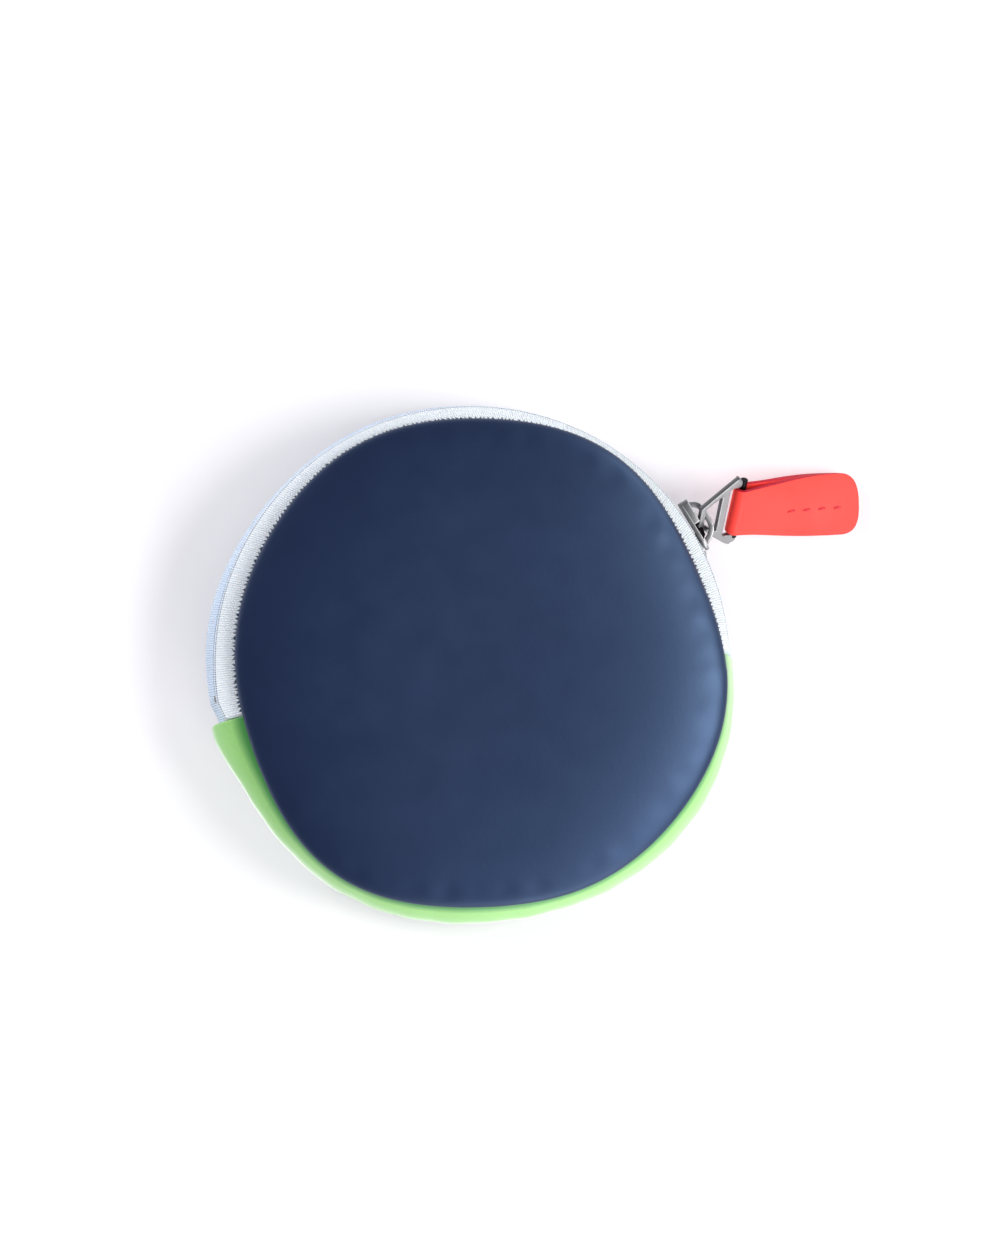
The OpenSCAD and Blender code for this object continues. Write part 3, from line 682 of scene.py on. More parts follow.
# Darker, bluer copy of the tape's cloth for the lower tape: painted shade, as that tape lies in shade
shaded_tape_cloth = woven_tape("shaded_tape_cloth", (0.5, 0.64, 0.83), (0.72, 0.83, 0.96))
coil_nylon = nylon("coil_nylon", (0.5, 0.68, 0.84), (0.66, 0.82, 0.93))
lining_cloth = cloth("lining_cloth", (0.16, 0.19, 0.25), (0.34, 0.38, 0.45))
binding_cloth = cloth("binding_cloth", (0.12, 0.15, 0.2), (0.26, 0.3, 0.37), 0.36)
foam_mat = foam_sheet("foam", (0.6, 0.57, 0.5), (0.86, 0.83, 0.76))
nickel = metal("nickel", (0.33, 0.33, 0.335), 0.36)
stop_metal = metal("stop_metal", (0.6, 0.6, 0.61), 0.42)
red_thread = thread("red_thread", (0.55, 0.015, 0.03), (0.75, 0.03, 0.045))

# Leather, foam and lining of the front

DISC_POINTS = 288
disc_a = np.arange(DISC_POINTS) * 360 / DISC_POINTS


def bend_with_mouth(obj):
    """Bakes the piece's place into its mesh."""
    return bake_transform(obj)


def disc_grid(rows, radius, shift):
    """Rings of a disc. Each row gives a share of the radius, an inset from it and a height."""
    return [polar(disc_a, radius * share - inset, z, shift) for share, inset, z in rows]


def dome_rows(drop, last=1.0, count=44):
    """Rows of a surface that lies drop under the top of the dome."""
    turns = np.linspace(math.asin(CENTRE_SHARE), math.asin(last), count)
    return [(s, 0.0, FRONT_SEAM_Z + dome_height(s) - drop(s)) for s in np.sin(turns)]


def relief(a, share):
    """Small puckers beside the seam, as a height."""
    pucker = 0.5 * np.sin(np.radians(31 * a + 40)) + 0.5 * np.sin(np.radians(47 * a + 200))
    near = math.exp(-(((share - PUCKER_AT) / PUCKER_SPREAD) ** 2))
    return PUCKER_H * pucker * near


outer = dome_rows(lambda s: 0.0)
rim = [(1.0, inset, FRONT_EDGE_Z + lift) for inset, lift in zip(RIM_INSETS, FRONT_RIM)]
inner = dome_rows(lambda s: LEATHER_T, FRONT_INNER_END)[::-1]
rows = outer + rim + inner
grid = disc_grid(rows, front_radius(disc_a), FRONT_SHIFT_X)
for k in range(len(outer)):
    grid[k][:, 2] += relief(disc_a, outer[k][0])
front_leather = bend_with_mouth(surface("front_leather", grid, navy_leather, 50))
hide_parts("front_panel_upper", "front_panel_lower")


def dome_sheet(name, upper, lower, last, count, mat):
    """Sheet between two depths under the dome."""
    rows = dome_rows(upper, last, count) + dome_rows(lower, last, count)[::-1]
    return surface(name, disc_grid(rows, front_radius(disc_a), FRONT_SHIFT_X), mat)


base = LEATHER_T + LAYER_GAP
front_foam = dome_sheet(
    "front_foam", lambda s: base, lambda s: base + foam_height(s), FRONT_FOAM_END, 24, foam_mat
)
bend_with_mouth(front_foam)
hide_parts("front_padding_upper", "front_padding_lower")

depth = base + LAYER_GAP
front_lining = dome_sheet(
    "front_lining", lambda s: depth + foam_height(s), lambda s: depth + LINING_T + foam_height(s),
    FRONT_LINING_END, 36, lining_cloth,
)
bend_with_mouth(front_lining)
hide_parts("front_lining_upper", "front_lining_lower")


def bound_edge(name, radius, shift, inset, low_z):
    """Ring of binding tape folded over a seam allowance, with rounded edges."""
    w, t, r = BINDING_W, BINDING_T, BINDING_ROUND
    section = []
    for cx, cz, start in ((w - r, t - r, 0), (r, t - r, 90), (r, r, 180), (w - r, r, 270)):
        for k in range(5):
            turned = math.radians(start + 22.5 * k)
            section.append((cx + r * math.cos(turned), cz + r * math.sin(turned)))
    grid = [polar(disc_a, radius - inset - x, low_z + z, shift) for x, z in section]
    return surface(name, np.swapaxes(grid, 0, 1), binding_cloth, close_u=True)


outer_gap = LEATHER_T + 3 * LAYER_GAP
front_bound_z = FRONT_EDGE_Z - LINING_T - 2 * LAYER_GAP - BINDING_T
front_binding = bound_edge("front_binding", front_radius(disc_a), FRONT_SHIFT_X, outer_gap, front_bound_z)
bend_with_mouth(front_binding)
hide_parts("front_binding_upper", "front_binding_lower")

# Leather, foam and lining of the back

roll = BACK_FLAT_SHARE + (1 - BACK_FLAT_SHARE) * np.sin(np.linspace(0, math.pi / 2, 22))
shares = np.concatenate([[CENTRE_SHARE, 0.2, 0.4, 0.55, 0.66, 0.72], roll])
rows = [(s, 0.0, back_height(s)) for s in shares]
rows += [(1.0, inset, BACK_EDGE_Z - drop) for inset, drop in zip(RIM_INSETS, BACK_RIM)]
rows += [(s, 0.0, back_height(s) + LEATHER_T) for s in shares[::-1] if s < BACK_INNER_END]
grid = disc_grid(rows, BACK_R, 0.0)
back_leather = surface("back_leather", grid, navy_leather, 50)
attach(back_leather, "pouch")
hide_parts("back_panel")

foam_shares = np.concatenate([[CENTRE_SHARE, 0.3, 0.6], np.linspace(0.7, BACK_FOAM_END, 12)])
rows = [(s, 0.0, back_height(s) + base) for s in foam_shares]
rows += [(s, 0.0, back_height(s) + base + foam_height(s)) for s in foam_shares[::-1]]
back_foam = surface("back_foam", disc_grid(rows, BACK_R, 0.0), foam_mat)
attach(back_foam, "pouch")
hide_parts("back_padding")

lining_shares = np.concatenate([[CENTRE_SHARE, 0.3, 0.6], np.linspace(0.7, BACK_LINING_END, 16)])
over_foam = back_height(lining_shares) + foam_height(lining_shares) + base + LAYER_GAP
rows = [(s, 0.0, min(BACK_LINING_TOP_Z, z)) for s, z in zip(lining_shares, over_foam)]
rows += [(s, inset, z + LINING_T) for s, inset, z in rows[::-1]]
back_lining = surface("back_lining_cloth", disc_grid(rows, BACK_R, 0.0), lining_cloth)
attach(back_lining, "pouch")
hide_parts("back_lining")

back_bound_z = BACK_EDGE_Z + LINING_T + 2 * LAYER_GAP
back_binding = bound_edge("back_bound_edge", BACK_R, 0.0, outer_gap, back_bound_z)
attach(back_binding, "pouch")
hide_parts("back_binding")

# Gusset and its lining


def gusset_ends(z):
    """Angles of the gusset's left and right end at a height."""
    lean = (FRONT_EDGE_Z - z) / (2 * SIDE_HALF)
    return GUSSET_LEFT + LEFT_LEAN * lean, GUSSET_RIGHT + RIGHT_LEAN * lean


def gusset_angle(z, way):
    """Angle of the gusset at a height and a way round it."""
    left, right = gusset_ends(z)
    return left + (360 + right - left) * way


def tape_angle(z, way):
    """Angle of the tape at a height and a way round it. Its ends run on under the gusset."""
    left, right = gusset_ends(z)
    return right - TAPE_UNDER + (left - right + 2 * TAPE_UNDER) * way


# Bulge of the gusset over its height, both as shares
gusset_profile = curve_through([(0, 0), (0.16, 0.72), (0.42, 1), (TURN_SHARE, 0.86), (1, 0)], 8)


def gusset_z(up):
    """Height of a share of the gusset's own height."""
    return GUSSET_FOOT_Z + GUSSET_H * up


def gusset_face(a, up, depth):
    """Point of the gusset at an angle and a share of its height, depth under its outer face."""
    z = gusset_z(up)
    bulge = np.interp(up, *gusset_profile.T)
    foot = BACK_R - LAYER_GAP
    full = side_radius(a) - BACK_R
    if up <= TURN_SHARE:
        body = polar(a, foot + full * bulge - depth, z)
    else:
        crest = np.interp(TURN_SHARE, *gusset_profile.T)
        back = polar(a, foot + full * crest - depth, z)
        seam = polar(a, front_radius(a) - LAYER_GAP - depth, z, FRONT_SHIFT_X)
        fall = 1 - bulge / crest
        body = back * (1 - fall) + seam * fall
    waves = 0.5 * math.sin(math.radians(23 * a + 60)) + 0.5 * math.sin(math.radians(41 * a + 10 * up))
    return body + polar(a, GUSSET_RIPPLE * waves * bulge, 0.0)


def gusset_points(way, depth, low=0.0, high=1.0):
    """Row of points across the gusset, from the back seam to the front seam."""
    out = []
    for up in gusset_profile[:, 0]:
        if low - 1e-6 <= up <= high + 1e-6:
            out.append(gusset_face(gusset_angle(gusset_z(up), way), up, depth))
    return np.array(out)


ends = END_STEPS / GUSSET_L
steps = np.concatenate([ends, np.linspace(0.012, 0.988, 150), 1 - ends[::-1]])
soft = np.concatenate([END_CUTS, np.zeros(150), END_CUTS[::-1]])
grid = []
for way, cut in zip(steps, soft):
    outside = gusset_points(way, cut)
    inside = gusset_points(way, LEATHER_T - cut)[::-1]
    grid.append(np.vstack([outside, inside]))
gusset = surface("gusset_leather", grid, green_leather, 60)
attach(gusset, "pouch")
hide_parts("gusset")

skin = LEATHER_T + LAYER_GAP
grid = []
for way in np.linspace(0.025, 0.975, 130):
    outside = gusset_points(way, skin, *LINED_SHARES)
    inside = gusset_points(way, skin + LINING_T, *LINED_SHARES)[::-1]
    grid.append(np.vstack([outside, inside]))
gusset_cloth = surface("gusset_cloth", grid, lining_cloth)
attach(gusset_cloth, "pouch")
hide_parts("gusset_lining")

# Zip tapes, with a rounded lip at the slit


def zip_radius(a):
    """Radius of the tapes, which are drawn in toward the left end of the gusset."""
    return ZIP_R * (1 - END_DRAW * ease((a - DRAW_START) / (GUSSET_LEFT - DRAW_START)))


def lip(z, up):
    """Half circle of the tape's edge at the slit, as depths and heights."""
    r = TAPE_T / 2
    turns = np.radians(np.linspace(75, -75, 6))
    return [(r - r * math.sin(t), z + up * (r - r * math.cos(t))) for t in turns]


def tucked(point, a):
    """Point of the tape's outer face, drawn in where the gusset covers it."""
    left, right = gusset_ends(point[2])
    share = ease((max(a - left, right - a) + TUCK_START) / TUCK_SPAN)
    if share == 0:
        return point
    up = (point[2] - GUSSET_FOOT_Z) / GUSSET_H
    under = gusset_face(a, min(max(up, 0.0), 1.0), LEATHER_T + TUCK_GAP)
    if np.hypot(*under[:2]) > np.hypot(*point[:2]):
        return point
    return point * (1 - share) + np.array([under[0], under[1], point[2]]) * share


def tape_piece(name, radius_at, up, rim_z, count, mat):
    """Tape above (up is 1) or below (-1) the slit. radius_at gives its outer radius and shift."""
    curved = np.linspace(ZIP_Z + up * FLAT_HALF, rim_z - up * LAYER_GAP, count)
    heights = np.concatenate([ZIP_Z + up * np.array(FLAT_ROWS), curved])
    ends = np.linspace(0, 0.02, 9)[:-1]
    steps = np.concatenate([ends, np.linspace(0.02, 0.98, 230), 1 - ends[::-1]])
    lips = lip(ZIP_Z + up * HALF_SLIT, up)[::-1]
    grid = []
    for way in steps:
        edge = [polar(tape_angle(z, way), zip_radius(tape_angle(z, way)) - d, z) for d, z in lips]
        angles = tape_angle(heights, way)
        radii, shifts = radius_at(way, heights).T
        outside = [tucked(polar(a, r, z, x), a) for a, r, z, x in zip(angles, radii, heights, shifts)]
        inside = [p - polar(a, TAPE_T, 0.0) for p, a in zip(outside, angles)]
        grid.append(np.vstack([inside[::-1], edge, outside]))
    grid = np.array(grid)
    along = steps * ZIP_R * math.radians(GUSSET_LEFT - GUSSET_RIGHT + 2 * TAPE_UNDER)
    middle = grid[len(steps) // 2]
    across = np.concatenate([[0], np.cumsum(np.linalg.norm(np.roll(middle, -1, 0) - middle, axis=1))])
    across -= across[len(heights) + len(lips) // 2]
    return surface(name, grid, mat, 50, u=along, v=across)


def front_tape_at(way, heights):
    """Outer radius and shift of the front tape, which swells between its flat stretch and its seam."""
    rim_z = FRONT_EDGE_Z - LAYER_GAP
    flat_z = ZIP_Z + FLAT_HALF
    fall = np.clip((rim_z - heights) / (rim_z - flat_z), 0, 1)
    swell = np.sin(fall * math.pi / 2)
    a = tape_angle(heights, way)
    rim_r = front_radius(a) - 2 * LAYER_GAP
    return np.stack([rim_r + (zip_radius(a) - rim_r) * swell, FRONT_SHIFT_X * (1 - swell)], -1)


def back_tape_at(way, heights):
    """The same for the back tape, which bulges with the pouch's side."""
    rim_z = BACK_EDGE_Z + LAYER_GAP
    rim_r = BACK_R - 2 * LAYER_GAP
    flat_z = ZIP_Z - FLAT_HALF
    bulge_z = (flat_z + BACK_EDGE_Z) / 2
    a = tape_angle(bulge_z, way)
    flat_r = zip_radius(a)
    bulge = max(flat_r, side_radius(min(a, DRAW_START)) - (ZIP_R - flat_r))
    rise = np.clip((heights - rim_z) / (bulge_z - rim_z), 0, 1)
    fall = ease((heights - bulge_z) / (flat_z - bulge_z))
    low = rim_r + (bulge - rim_r) * np.sin(rise * math.pi / 2)
    return np.stack([np.where(heights < bulge_z, low, bulge + (flat_r - bulge) * fall), 0 * heights], -1)


front_tape = tape_piece("front_tape", front_tape_at, 1, FRONT_EDGE_Z, 12, tape_cloth)
bend_with_mouth(front_tape)
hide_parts("front_zip_tape")

back_tape = tape_piece("back_tape", back_tape_at, -1, BACK_EDGE_Z, 16, shaded_tape_cloth)
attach(back_tape, "pouch")
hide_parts("back_zip_tape")

# Coils: turns that meet in the slit, held back for the slider's wedge


def coil_piece(name, up, phase, held):
    """Coil of one tape. held gives the angles between which its heads are held back."""
    turns = math.radians(COIL_END - COIL_START) * COIL_R / COIL_PITCH
    t = np.linspace(0, turns, int(turns * COIL_STEPS))
    a = COIL_START + (COIL_END - COIL_START) * t / turns
    head = np.full_like(a, COIL_HEAD)
    for a0, a1 in held:
        near = ease((a - a0) / HELD_EASE + 1) * ease((a1 - a) / HELD_EASE + 1)
        head += (COIL_HELD - COIL_HEAD) * near
    wire = COIL_WIRE / 2
    angle = 2 * math.pi * t + phase
    low, high = head + wire, COIL_TOP - wire
    z = ZIP_Z + up * ((low + high) / 2 - (high - low) / 2 * np.cos(angle))
    r = COIL_R + (COIL_HALF - wire) * np.sin(angle)
    return surface(name, tube(polar(a, r, z), wire, 6), coil_nylon, 60)


front_coil = coil_piece("front_coil", 1, 0.0, [HELD_RIGHT])
bend_with_mouth(front_coil)
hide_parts("front_zip_coil")
back_coil = coil_piece("back_coil", -1, math.pi, [HELD_RIGHT, HELD_LEFT])
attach(back_coil, "pouch")
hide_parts("back_zip_coil")


def arc_block(a0, a1, r0, r1, z0, z1, bevel=0.1):
    """Block that follows the zip between two angles, radii and heights, with rounded edges."""
    middle = (a0 + a1) / 2
    points = [(r0, a0), (r1, a0), (r1, middle), (r1, a1), (r0, a1), (r0, middle)]
    return prism_mesh([polar(a, r, 0.0)[:2] for r, a in points], z0, z1, bevel, 2)


def stop_piece(name, node, body, a0, low, high, web_low, web_high):
    """Stop: a foot beside the coil, a plate outside the tape and a web between them."""
    a1 = a0 + math.degrees(STOP_L / ZIP_R)
    foot = (COIL_R - COIL_HALF, COIL_R + COIL_HALF)
    plate = (ZIP_R + LAYER_GAP, ZIP_R + LAYER_GAP + STOP_T)
    web = (foot[0] + 0.1, plate[1] - 0.1)
    mesh = joined([
        (arc_block(a0, a1, *foot, ZIP_Z + low, ZIP_Z + high), HERE),
        (arc_block(a0, a1, *plate, ZIP_Z + low, ZIP_Z + high), HERE),
        (arc_block(a0, a1, *web, ZIP_Z + web_low, ZIP_Z + web_high, 0.05), HERE),
    ])
    stop = finish_mesh(name, mesh, stop_metal)
    if body == "pouch":
        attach(stop, body)
    else:
        bend_with_mouth(stop)
    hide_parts(node)


stop_gap = math.degrees(LAYER_GAP / ZIP_R)
stop_a = COIL_START - stop_gap - math.degrees(STOP_L / ZIP_R)
end_a = COIL_END + stop_gap
stop_piece("front_stop", "front_top_stop", "front_flap", stop_a, STOP_START, STOP_END, STOP_START, STOP_WEB)
stop_piece("back_stop", "back_top_stop", "pouch", stop_a, -STOP_END, -STOP_START, -STOP_WEB, -STOP_START)
stop_piece("end_stop", "bottom_stop", "pouch", end_a, -STOP_END, STOP_END, -END_STOP_WEB, END_STOP_WEB)

# Slider, in its own frame: X out of the zip, Y along it, Z up

slider_place = turn(SLIDER_ANGLE, "Z") @ place(z=ZIP_Z)
sag = SLIDER_L**2 / (8 * ZIP_R)
plate_x = ZIP_R + SLIDER_GAP + 2 * LAYER_GAP
inner_x = COIL_R - COIL_HALF - sag - SLIDER_GAP
flange_x = ZIP_R - TAPE_T - sag - SLIDER_GAP
bridge_x = plate_x + PLATE_T + BRIDGE_H - BRIDGE_T / 2


def along(share):
    """Place along the slider, at a share of its length from its tail."""
    return SLIDER_L * (0.5 - share)


def raised(points, foot):
    """Outline whose points are heights over a foot and shares of the slider's length."""
    return [(x + foot, along(share)) for x, share in points]


tail_z = TAIL_W / 2


def mirrored(half):
    """Closed outline of a half and its mirror image."""
    return half + [(-z, y) for z, y in reversed(half)]


def plate_outline():
    """Plate, narrow at its tail and rounded at its wide nose, as heights and places along."""
    nose = SLIDER_W / 4
    side = -SLIDER_W / 2
    points = [
        (-tail_z + PLATE_CORNER, along(0)), (-tail_z, along(0) - PLATE_CORNER),
        (side, along(NOSE_SHARE)), (side, along(1) + nose),
    ]
    for t in range(15, 90, 15):
        c = math.radians(t)
        points.append((side + nose * (1 - math.cos(c)), along(1) + nose * (1 - math.sin(c))))
    return mirrored(points + [(side + nose, along(1))])


# A plate's outline lies in the slider's Z and Y, so its own X becomes Z and its own Z becomes X
flip = Matrix(((0, 0, 1, 0), (0, 1, 0, 0), (1, 0, 0, 0), (0, 0, 0, 1)))
# The wedge's outline lies in Y and Z, so its own X, Y and Z become Y, Z and X
stand = Matrix(((0, 0, 1, 0), (1, 0, 0, 0), (0, 1, 0, 0), (0, 0, 0, 1)))
block_w = (SLIDER_W / 2 + tail_z) / 2
block = mirrored([
    (-tail_z + BLOCK_CORNER, along(0)), (-tail_z, along(0) - BLOCK_CORNER), (-block_w, along(BLOCK_SHARE)),
])
arch_foot = plate_x + PLATE_T - 0.05
arch_outer = curve_through(raised(BRIDGE_OUTER, arch_foot), 5)
arch_inner = curve_through(raised(BRIDGE_INNER, arch_foot), 5)
arch = np.vstack([arch_outer, arch_inner[::-1]])
spring = raised(SPRING, plate_x + THIN_PLATE_T)
wedge = [
    (along(0.62), 0.0), (along(0.7), WEDGE_W / 2), (along(0.9), WEDGE_W / 2), (along(0.94), 0.0),
    (along(0.9), -WEDGE_W / 2), (along(0.7), -WEDGE_W / 2),
]
parts = [
    (prism_mesh(plate_outline(), plate_x, plate_x + THIN_PLATE_T, 0.16), flip),
    (prism_mesh(block, plate_x + 0.1, plate_x + BLOCK_T, 0.22), flip),
    (prism_mesh(plate_outline(), inner_x - INNER_PLATE_T, inner_x, 0.2), flip),
    (prism_mesh(wedge, inner_x - 0.2, plate_x + 0.2), stand),
    (prism_mesh(arch, -BRIDGE_W / 2, BRIDGE_W / 2, 0.22), HERE),
    # The spring in the bridge is drawn near-black: painted shade for the dark inside of the bridge
    (blackened_as_shade(prism_mesh(spring, -SPRING_HALF_W, SPRING_HALF_W)), HERE),
]
y0, y1 = (along(share) for share in FLANGE_SHARES)
foot_x = inner_x - FLANGE_FOOT
flange = [(foot_x, y0), (flange_x, y0), (flange_x, y1), (foot_x, y1)]
for side in (1, -1):
    z0, z1 = sorted((side * tail_z, side * (tail_z - FLANGE_T)))
    parts.append((prism_mesh(flange, z0, z1, 0.12), HERE))
slider = finish_mesh("slider_body", joined([(m, slider_place @ p) for m, p in parts]), nickel, 40)
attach(slider, "slider")
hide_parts("zip_slider")

# Ring, in its own frame: X along it toward the strap, Y across it

roll_deg, pitch_deg, yaw_deg = RING_TURNS
ring_place = (
    slider_place
    @ place(bridge_x, -SLIDER_L * RING_SEAT_SHARE)
    @ turn(yaw_deg, "Z") @ turn(pitch_deg, "Y") @ turn(roll_deg, "X")
    @ place(0, RING_SHIFT)
)
shoulder_x = BAR_X - EAR_R - BAR_D / 2
slope = (RING_W - APEX_W) / 2 / (shoulder_x + APEX_REACH)
slot_half = STRAP_ROOT_W / 2 + 0.3
leg_across = LEG_W * math.sqrt(1 + slope**2)


def leg_y(x):
    """Place of a leg's outer edge across the ring."""
    return APEX_W / 2 + (x + APEX_REACH) * slope


def flat_plate(loops, thickness, rounding):
    """Plate with rounded edges: the first loop is its outline, the others are holes."""
    curve = bpy.data.curves.new("plate", "CURVE")
    curve.dimensions = "2D"
    curve.fill_mode = "BOTH"
    for loop in loops:
        spline = curve.splines.new("POLY")
        spline.points.add(len(loop) - 1)
        for point, (x, y) in zip(spline.points, loop):
            point.co = (x * MM, y * MM, 0, 1)
        spline.use_cyclic_u = True
    curve.extrude = (thickness / 2 - rounding) * MM
    curve.bevel_depth = rounding * MM
    curve.bevel_resolution = 3
    curve.offset = -rounding * MM
    obj = bpy.data.objects.new("plate", curve)
    scene.collection.objects.link(obj)
    bpy.context.view_layer.update()
    mesh = bpy.data.meshes.new_from_object(obj.evaluated_get(bpy.context.evaluated_depsgraph_get()))
    bpy.data.objects.remove(obj)
    return mesh


def rounded_loop(points, radius, steps=4):
    """Closed loop with its corners rounded."""
    p = np.asarray(points, float)
    out = []
    for i in range(len(p)):
        a, b, c = p[i - 1], p[i], p[(i + 1) % len(p)]
        start, end = (b + (q - b) * min(radius / np.linalg.norm(q - b), 0.45) for q in (a, c))
        for k in range(steps + 1):
            t = k / steps
            out.append((1 - t) ** 2 * start + 2 * t * (1 - t) * b + t**2 * end)
    return out


def ring_half(ear_x):
    """Half of the ring's outline, from its apex round the ear to the slot for the strap."""
    half = [
        (-APEX_REACH, APEX_W / 2 - APEX_BAR_W * 0.6), (-APEX_REACH + APEX_BAR_W * 0.6, APEX_W / 2 + 0.1),
        (shoulder_x, RING_W / 2), (ear_x - 0.9, RING_W / 2 + 0.02), (ear_x - 0.35, RING_W / 2 - 0.2),
        (ear_x, RING_W / 2 - 0.75), (ear_x - 0.1, slot_half + 0.35), (ear_x - 0.45, slot_half),
    ]
    slot_x = CROSSBAR_X + CROSSBAR_W
    corner = [(slot_x + 0.9, slot_half), (slot_x + 0.25, slot_half - 0.1), (slot_x, slot_half - 0.5)]
    return [tuple(q) for q in curve_through(half, 4)] + corner


far_ear, near_ear = (ring_half(BAR_X + end) for end in EAR_ENDS)
outline = far_ear + [(x, -y) for x, y in reversed(near_ear)]
window_x0 = -APEX_REACH + APEX_BAR_W
window = rounded_loop([
    (window_x0, leg_y(window_x0) - leg_across), (CROSSBAR_X, leg_y(CROSSBAR_X) - leg_across),
    (CROSSBAR_X, leg_across - leg_y(CROSSBAR_X)), (window_x0, leg_across - leg_y(window_x0)),
], 0.4)
far_y, near_y = slot_half + BAR_ENDS[0], -slot_half - BAR_ENDS[1]
bar_path = [(BAR_X, y, 0) for y in (far_y, far_y - BAR_CHAMFER, near_y + BAR_CHAMFER, near_y)]
bar_radii = BAR_D / 2 * np.array([0.82, 1.0, 1.0, 0.82])
ring_mesh = joined([
    (flat_plate([outline, window], RING_T, 0.22), ring_place),
    # The bar is drawn near-black: painted shade for the dark gaps beside the ears
    (blackened_as_shade(surface_mesh("bar", tube(bar_path, bar_radii, 20))), ring_place),
])
ring = finish_mesh("ring_body", ring_mesh, nickel, 40)
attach(ring, "ring")
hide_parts("pull_ring")

# Strap: one strip that is folded round the bar, in its own frame with X along it

strap_place = ring_place @ place(BAR_X) @ turn(-STRAP_LIFT, "Y") @ turn(STRAP_YAW, "Z")
loop_r = BAR_D / 2 + LOOP_GAP + SKIVED_T


def strap_half_w(x):
    """Half of the strap's width, which grows from its root and is rounded off at its end."""
    grown = 1 - (1 - np.clip(x / (STRAP_L * STRAP_FULL_SHARE), 0, 1)) ** 2
    full = STRAP_ROOT_W / 2 + (STRAP_W - STRAP_ROOT_W) / 2 * grown
    into_end = np.clip((x - STRAP_L + STRAP_ROUND) / STRAP_ROUND, 0, 0.995)
    return full * (1 - into_end**STRAP_END_POWER) ** (1 / STRAP_END_POWER)


def leather_t(x):
    """Thickness of the strap's leather, which is skived thin where it folds."""
    return SKIVED_T + (STRAP_T - SKIVED_T) * ease(x / SKIVE_L)


def strap_half_t(x):
    """Half of the strap's thickness where its two layers lie on each other."""
    flat = leather_t(x)
    return flat + (loop_r - flat) * (1 - np.clip(x / LOOP_L, 0, 1)) ** 2 * (1 - LAYER_GAP)


def strap_turned(points):
    """Points of the strap, twisted toward its end and bent in its own plane."""
    x = points[..., 0]
    t = -np.radians(STRAP_TWIST) * ease(x / STRAP_L)
    y, z = points[..., 1], points[..., 2]
    y, z = y * np.cos(t) - z * np.sin(t), y * np.sin(t) + z * np.cos(t)
    aside = np.radians(STRAP_BEND) * np.clip(x / STRAP_L, 0, 1)
    return np.stack([x - aside * y, y + aside * x / 2, z], -1)


straight = np.linspace(0.3, STRAP_L - STRAP_ROUND, 36)
rounded = STRAP_L - STRAP_ROUND * np.linspace(1, 0, 26)[1:] ** 1.7
xs = np.concatenate([straight, rounded])
level = strap_half_t(xs) - leather_t(xs) / 2 + 0.01
turns = np.radians(np.linspace(90, 270, 15))
fold_r = loop_r - SKIVED_T / 2
path = np.array(
    [(x, z) for x, z in zip(xs[::-1], level[::-1])]
    + [(fold_r * math.cos(t), fold_r * math.sin(t)) for t in turns]
    + [(x, -z) for x, z in zip(xs, level)]
)
lead = np.gradient(path, axis=0)
lead /= np.linalg.norm(lead, axis=1)[:, None]
normal = np.stack([lead[:, 1], -lead[:, 0]], -1)


def strap_section(w, h):
    """Points round the strip's section: places across and through it, and their share on an edge."""
    e = min(STRAP_SOFT, w * 0.4)
    out = []
    for side, start in (((1, 1), 0), ((-1, 1), 90), ((-1, -1), 180), ((1, -1), 270)):
        for t in np.radians(start + np.arange(0, 91, 22.5)):
            y, z = side[0] * (w - e) + e * math.cos(t), side[1] * (h - e) + e * math.sin(t)
            out.append((y, z, abs(math.cos(t))))
        if start in (0, 180):
            flat = side[0] * np.linspace(w - e, e - w, 9)[1:-1]
            out += [(y, side[1] * h, 0.0) for y in flat]
    return np.array(out)


grid = []
for (x, z), (nx, nz) in zip(path, normal):
    y, n, _ = strap_section(strap_half_w(max(x, 0.0)), leather_t(x) / 2).T
    grid.append(strap_turned(np.stack([x + nx * n, y, z + nz * n], -1)))
edge_share = strap_section(STRAP_W / 2, STRAP_T / 2)[:, 2]
edge_share = np.append(edge_share, edge_share[0])
strap_mesh = surface_mesh("strap_leather", grid, u=np.arange(len(grid)), v=edge_share)
strap_mesh.transform(strap_place)
strap = finish_mesh("strap_leather", strap_mesh, red_leather, 60)
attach(strap, "strap")
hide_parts("pull_strap")

# Stitches: short threads that dive into the leather at both ends

stitch_parts = []
for i in range(STITCH_COUNT):
    x0 = STITCH_START + STITCH_PITCH * i
    t = np.linspace(-1, 1, 9)
    top = strap_half_t(x0) + STITCH_D * 0.12
    aside, deep = STITCH_SLANT * t, STITCH_DIVE * np.abs(t) ** 3
    line = np.stack([x0 + t * STITCH_L / 2, STITCH_SIDE + aside, top - deep], -1)
    radii = STITCH_D / 2 * (1 - 0.35 * np.abs(t) ** 4)
    mesh = surface_mesh("stitch", tube(strap_turned(line), radii, 8))
    stitch_parts.append((mesh, strap_place))
stitches = finish_mesh("stitches", joined(stitch_parts), red_thread, 60)
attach(stitches, "strap")
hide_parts("strap_stitches")

# Floor, light and camera

paint = Shader("floor")
tone = paint.noise(paint.rest(), 12.0, 2.0)
floor_colour = paint.ramp(tone, [(0.2, (0.95, 0.95, 0.96)), (0.8, (0.97, 0.97, 0.98))])
floor_mat = paint.end(Base_Color=floor_colour, Roughness=0.8)
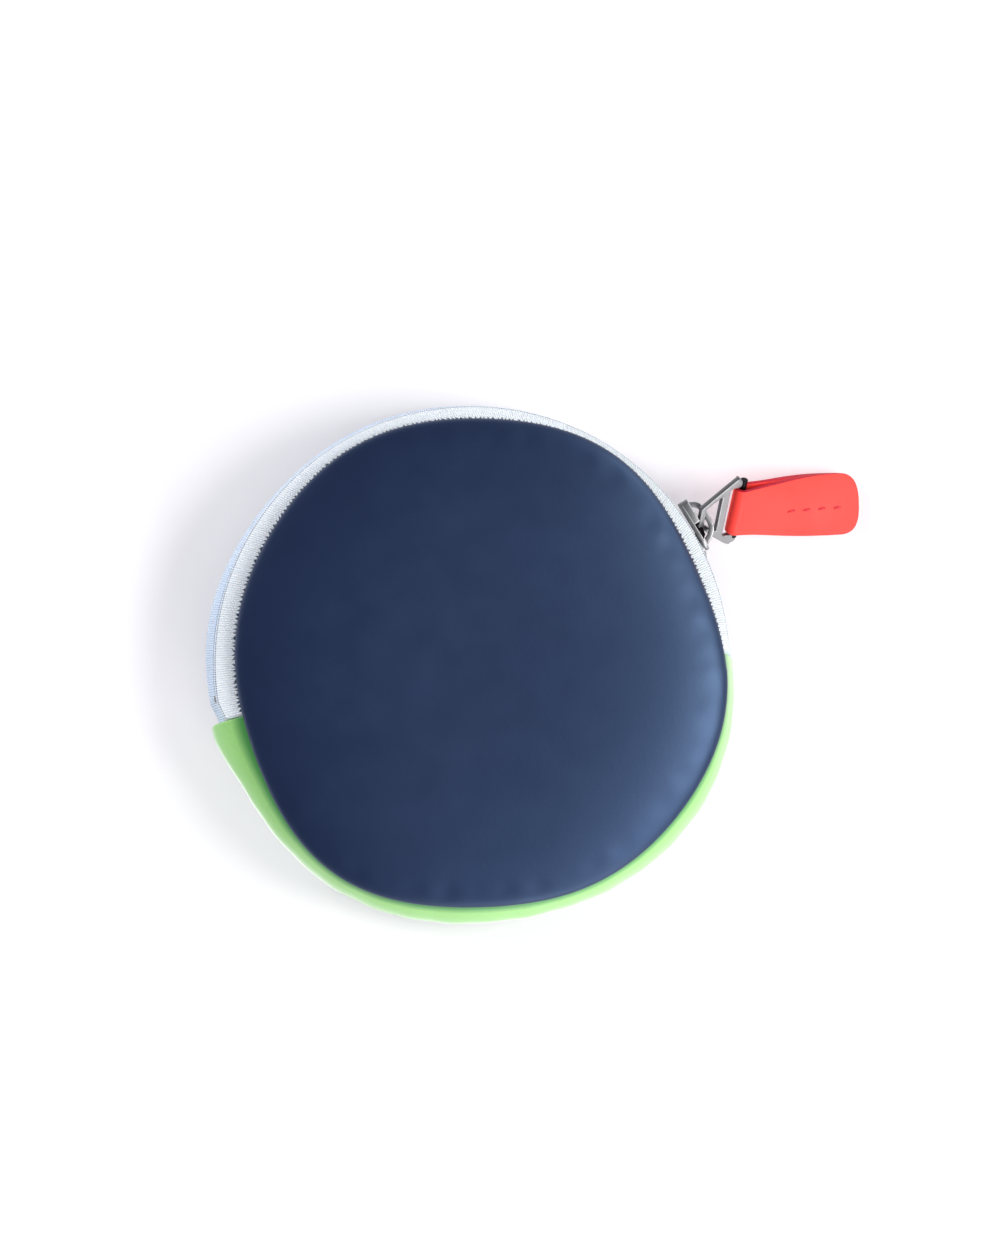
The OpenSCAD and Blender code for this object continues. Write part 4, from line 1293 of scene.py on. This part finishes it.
# A share of plain white, seen by the camera and in reflections, keeps the floor pale and its shadows soft
white = paint.add("Emission", {"Color": (0.98, 0.95, 1.0, 1), "Strength": 1.0})
seen = paint.add("LightPath", out="Is Camera Ray")
for ray in ("Is Glossy Ray", "Is Transmission Ray"):
    seen = paint.math("MAXIMUM", seen, paint.add("LightPath", out=ray))
whiteness = paint.math("MULTIPLY", seen, FLOOR_WHITE)
paled = paint.add("MixShader", {0: whiteness, 1: paint.shader.outputs[0], 2: white})
paint.put(paint.tree.nodes["Material Output"].inputs[0], paled)
corners = (-FLOOR_REACH, FLOOR_REACH)
floor_grid = [[(x, y, -FLOOR_DROP) for y in corners] for x in corners]
floor = surface("floor", floor_grid, floor_mat, close_v=False, caps=False)

world = bpy.data.worlds.new("studio")
scene.world = world
world.use_nodes = True
background = world.node_tree.nodes["Background"]
background.inputs[0].default_value = WORLD_COLOUR
background.inputs[1].default_value = WORLD_STRENGTH


def soft_light(name, where, width, power, colour, body=True, gloss=True):
    """Round soft lamp. It can light the bodies of the surfaces, their gloss or both."""
    light = bpy.data.lights.new(name, "AREA")
    light.shape = "DISK"
    light.size = width
    light.energy = power
    light.color = colour
    obj = bpy.data.objects.new(name, light)
    obj.location = where
    obj.rotation_euler = (Vector((0, 0, 0.01)) - Vector(where)).to_track_quat("-Z", "Y").to_euler()
    obj.visible_glossy = gloss
    obj.visible_diffuse = body
    scene.collection.objects.link(obj)


soft_light("key", (0.77, -0.04, 0.82), 0.56, 9.6, (1.0, 0.995, 0.98))
soft_light("front_fill", (0.5, -1.05, 0.36), 0.7, 10.5, (0.98, 0.98, 1.0), gloss=False)
soft_light("side_fill", (-0.8, 0.5, 0.5), 0.8, 9.5, (0.97, 0.96, 1.0), gloss=False)
soft_light("far_sheen", (0.9, 0.8, 0.46), 0.9, 8.0, (0.9, 0.96, 1.0), body=False)
soft_light("near_sheen", (0.68, -0.55, 0.86), 1.1, 10.0, (0.92, 0.94, 1.0), body=False)
soft_light("low_sheen", (0.4, -1.1, 0.12), 0.9, 9.0, WHITE, body=False)

camera = bpy.data.cameras.new("camera")
camera.lens = LENS
camera.sensor_width = SENSOR
camera_obj = bpy.data.objects.new("camera", camera)
distance = PHOTO_H * PIXEL / SENSOR * LENS
camera_obj.location = (VIEW_CENTRE[0] * MM, VIEW_CENTRE[1] * MM, (distance + ZIP_Z) * MM)
camera.clip_start = 0.05
camera.clip_end = 20
scene.collection.objects.link(camera_obj)
scene.camera = camera_obj
scene.view_settings.view_transform = "Standard"
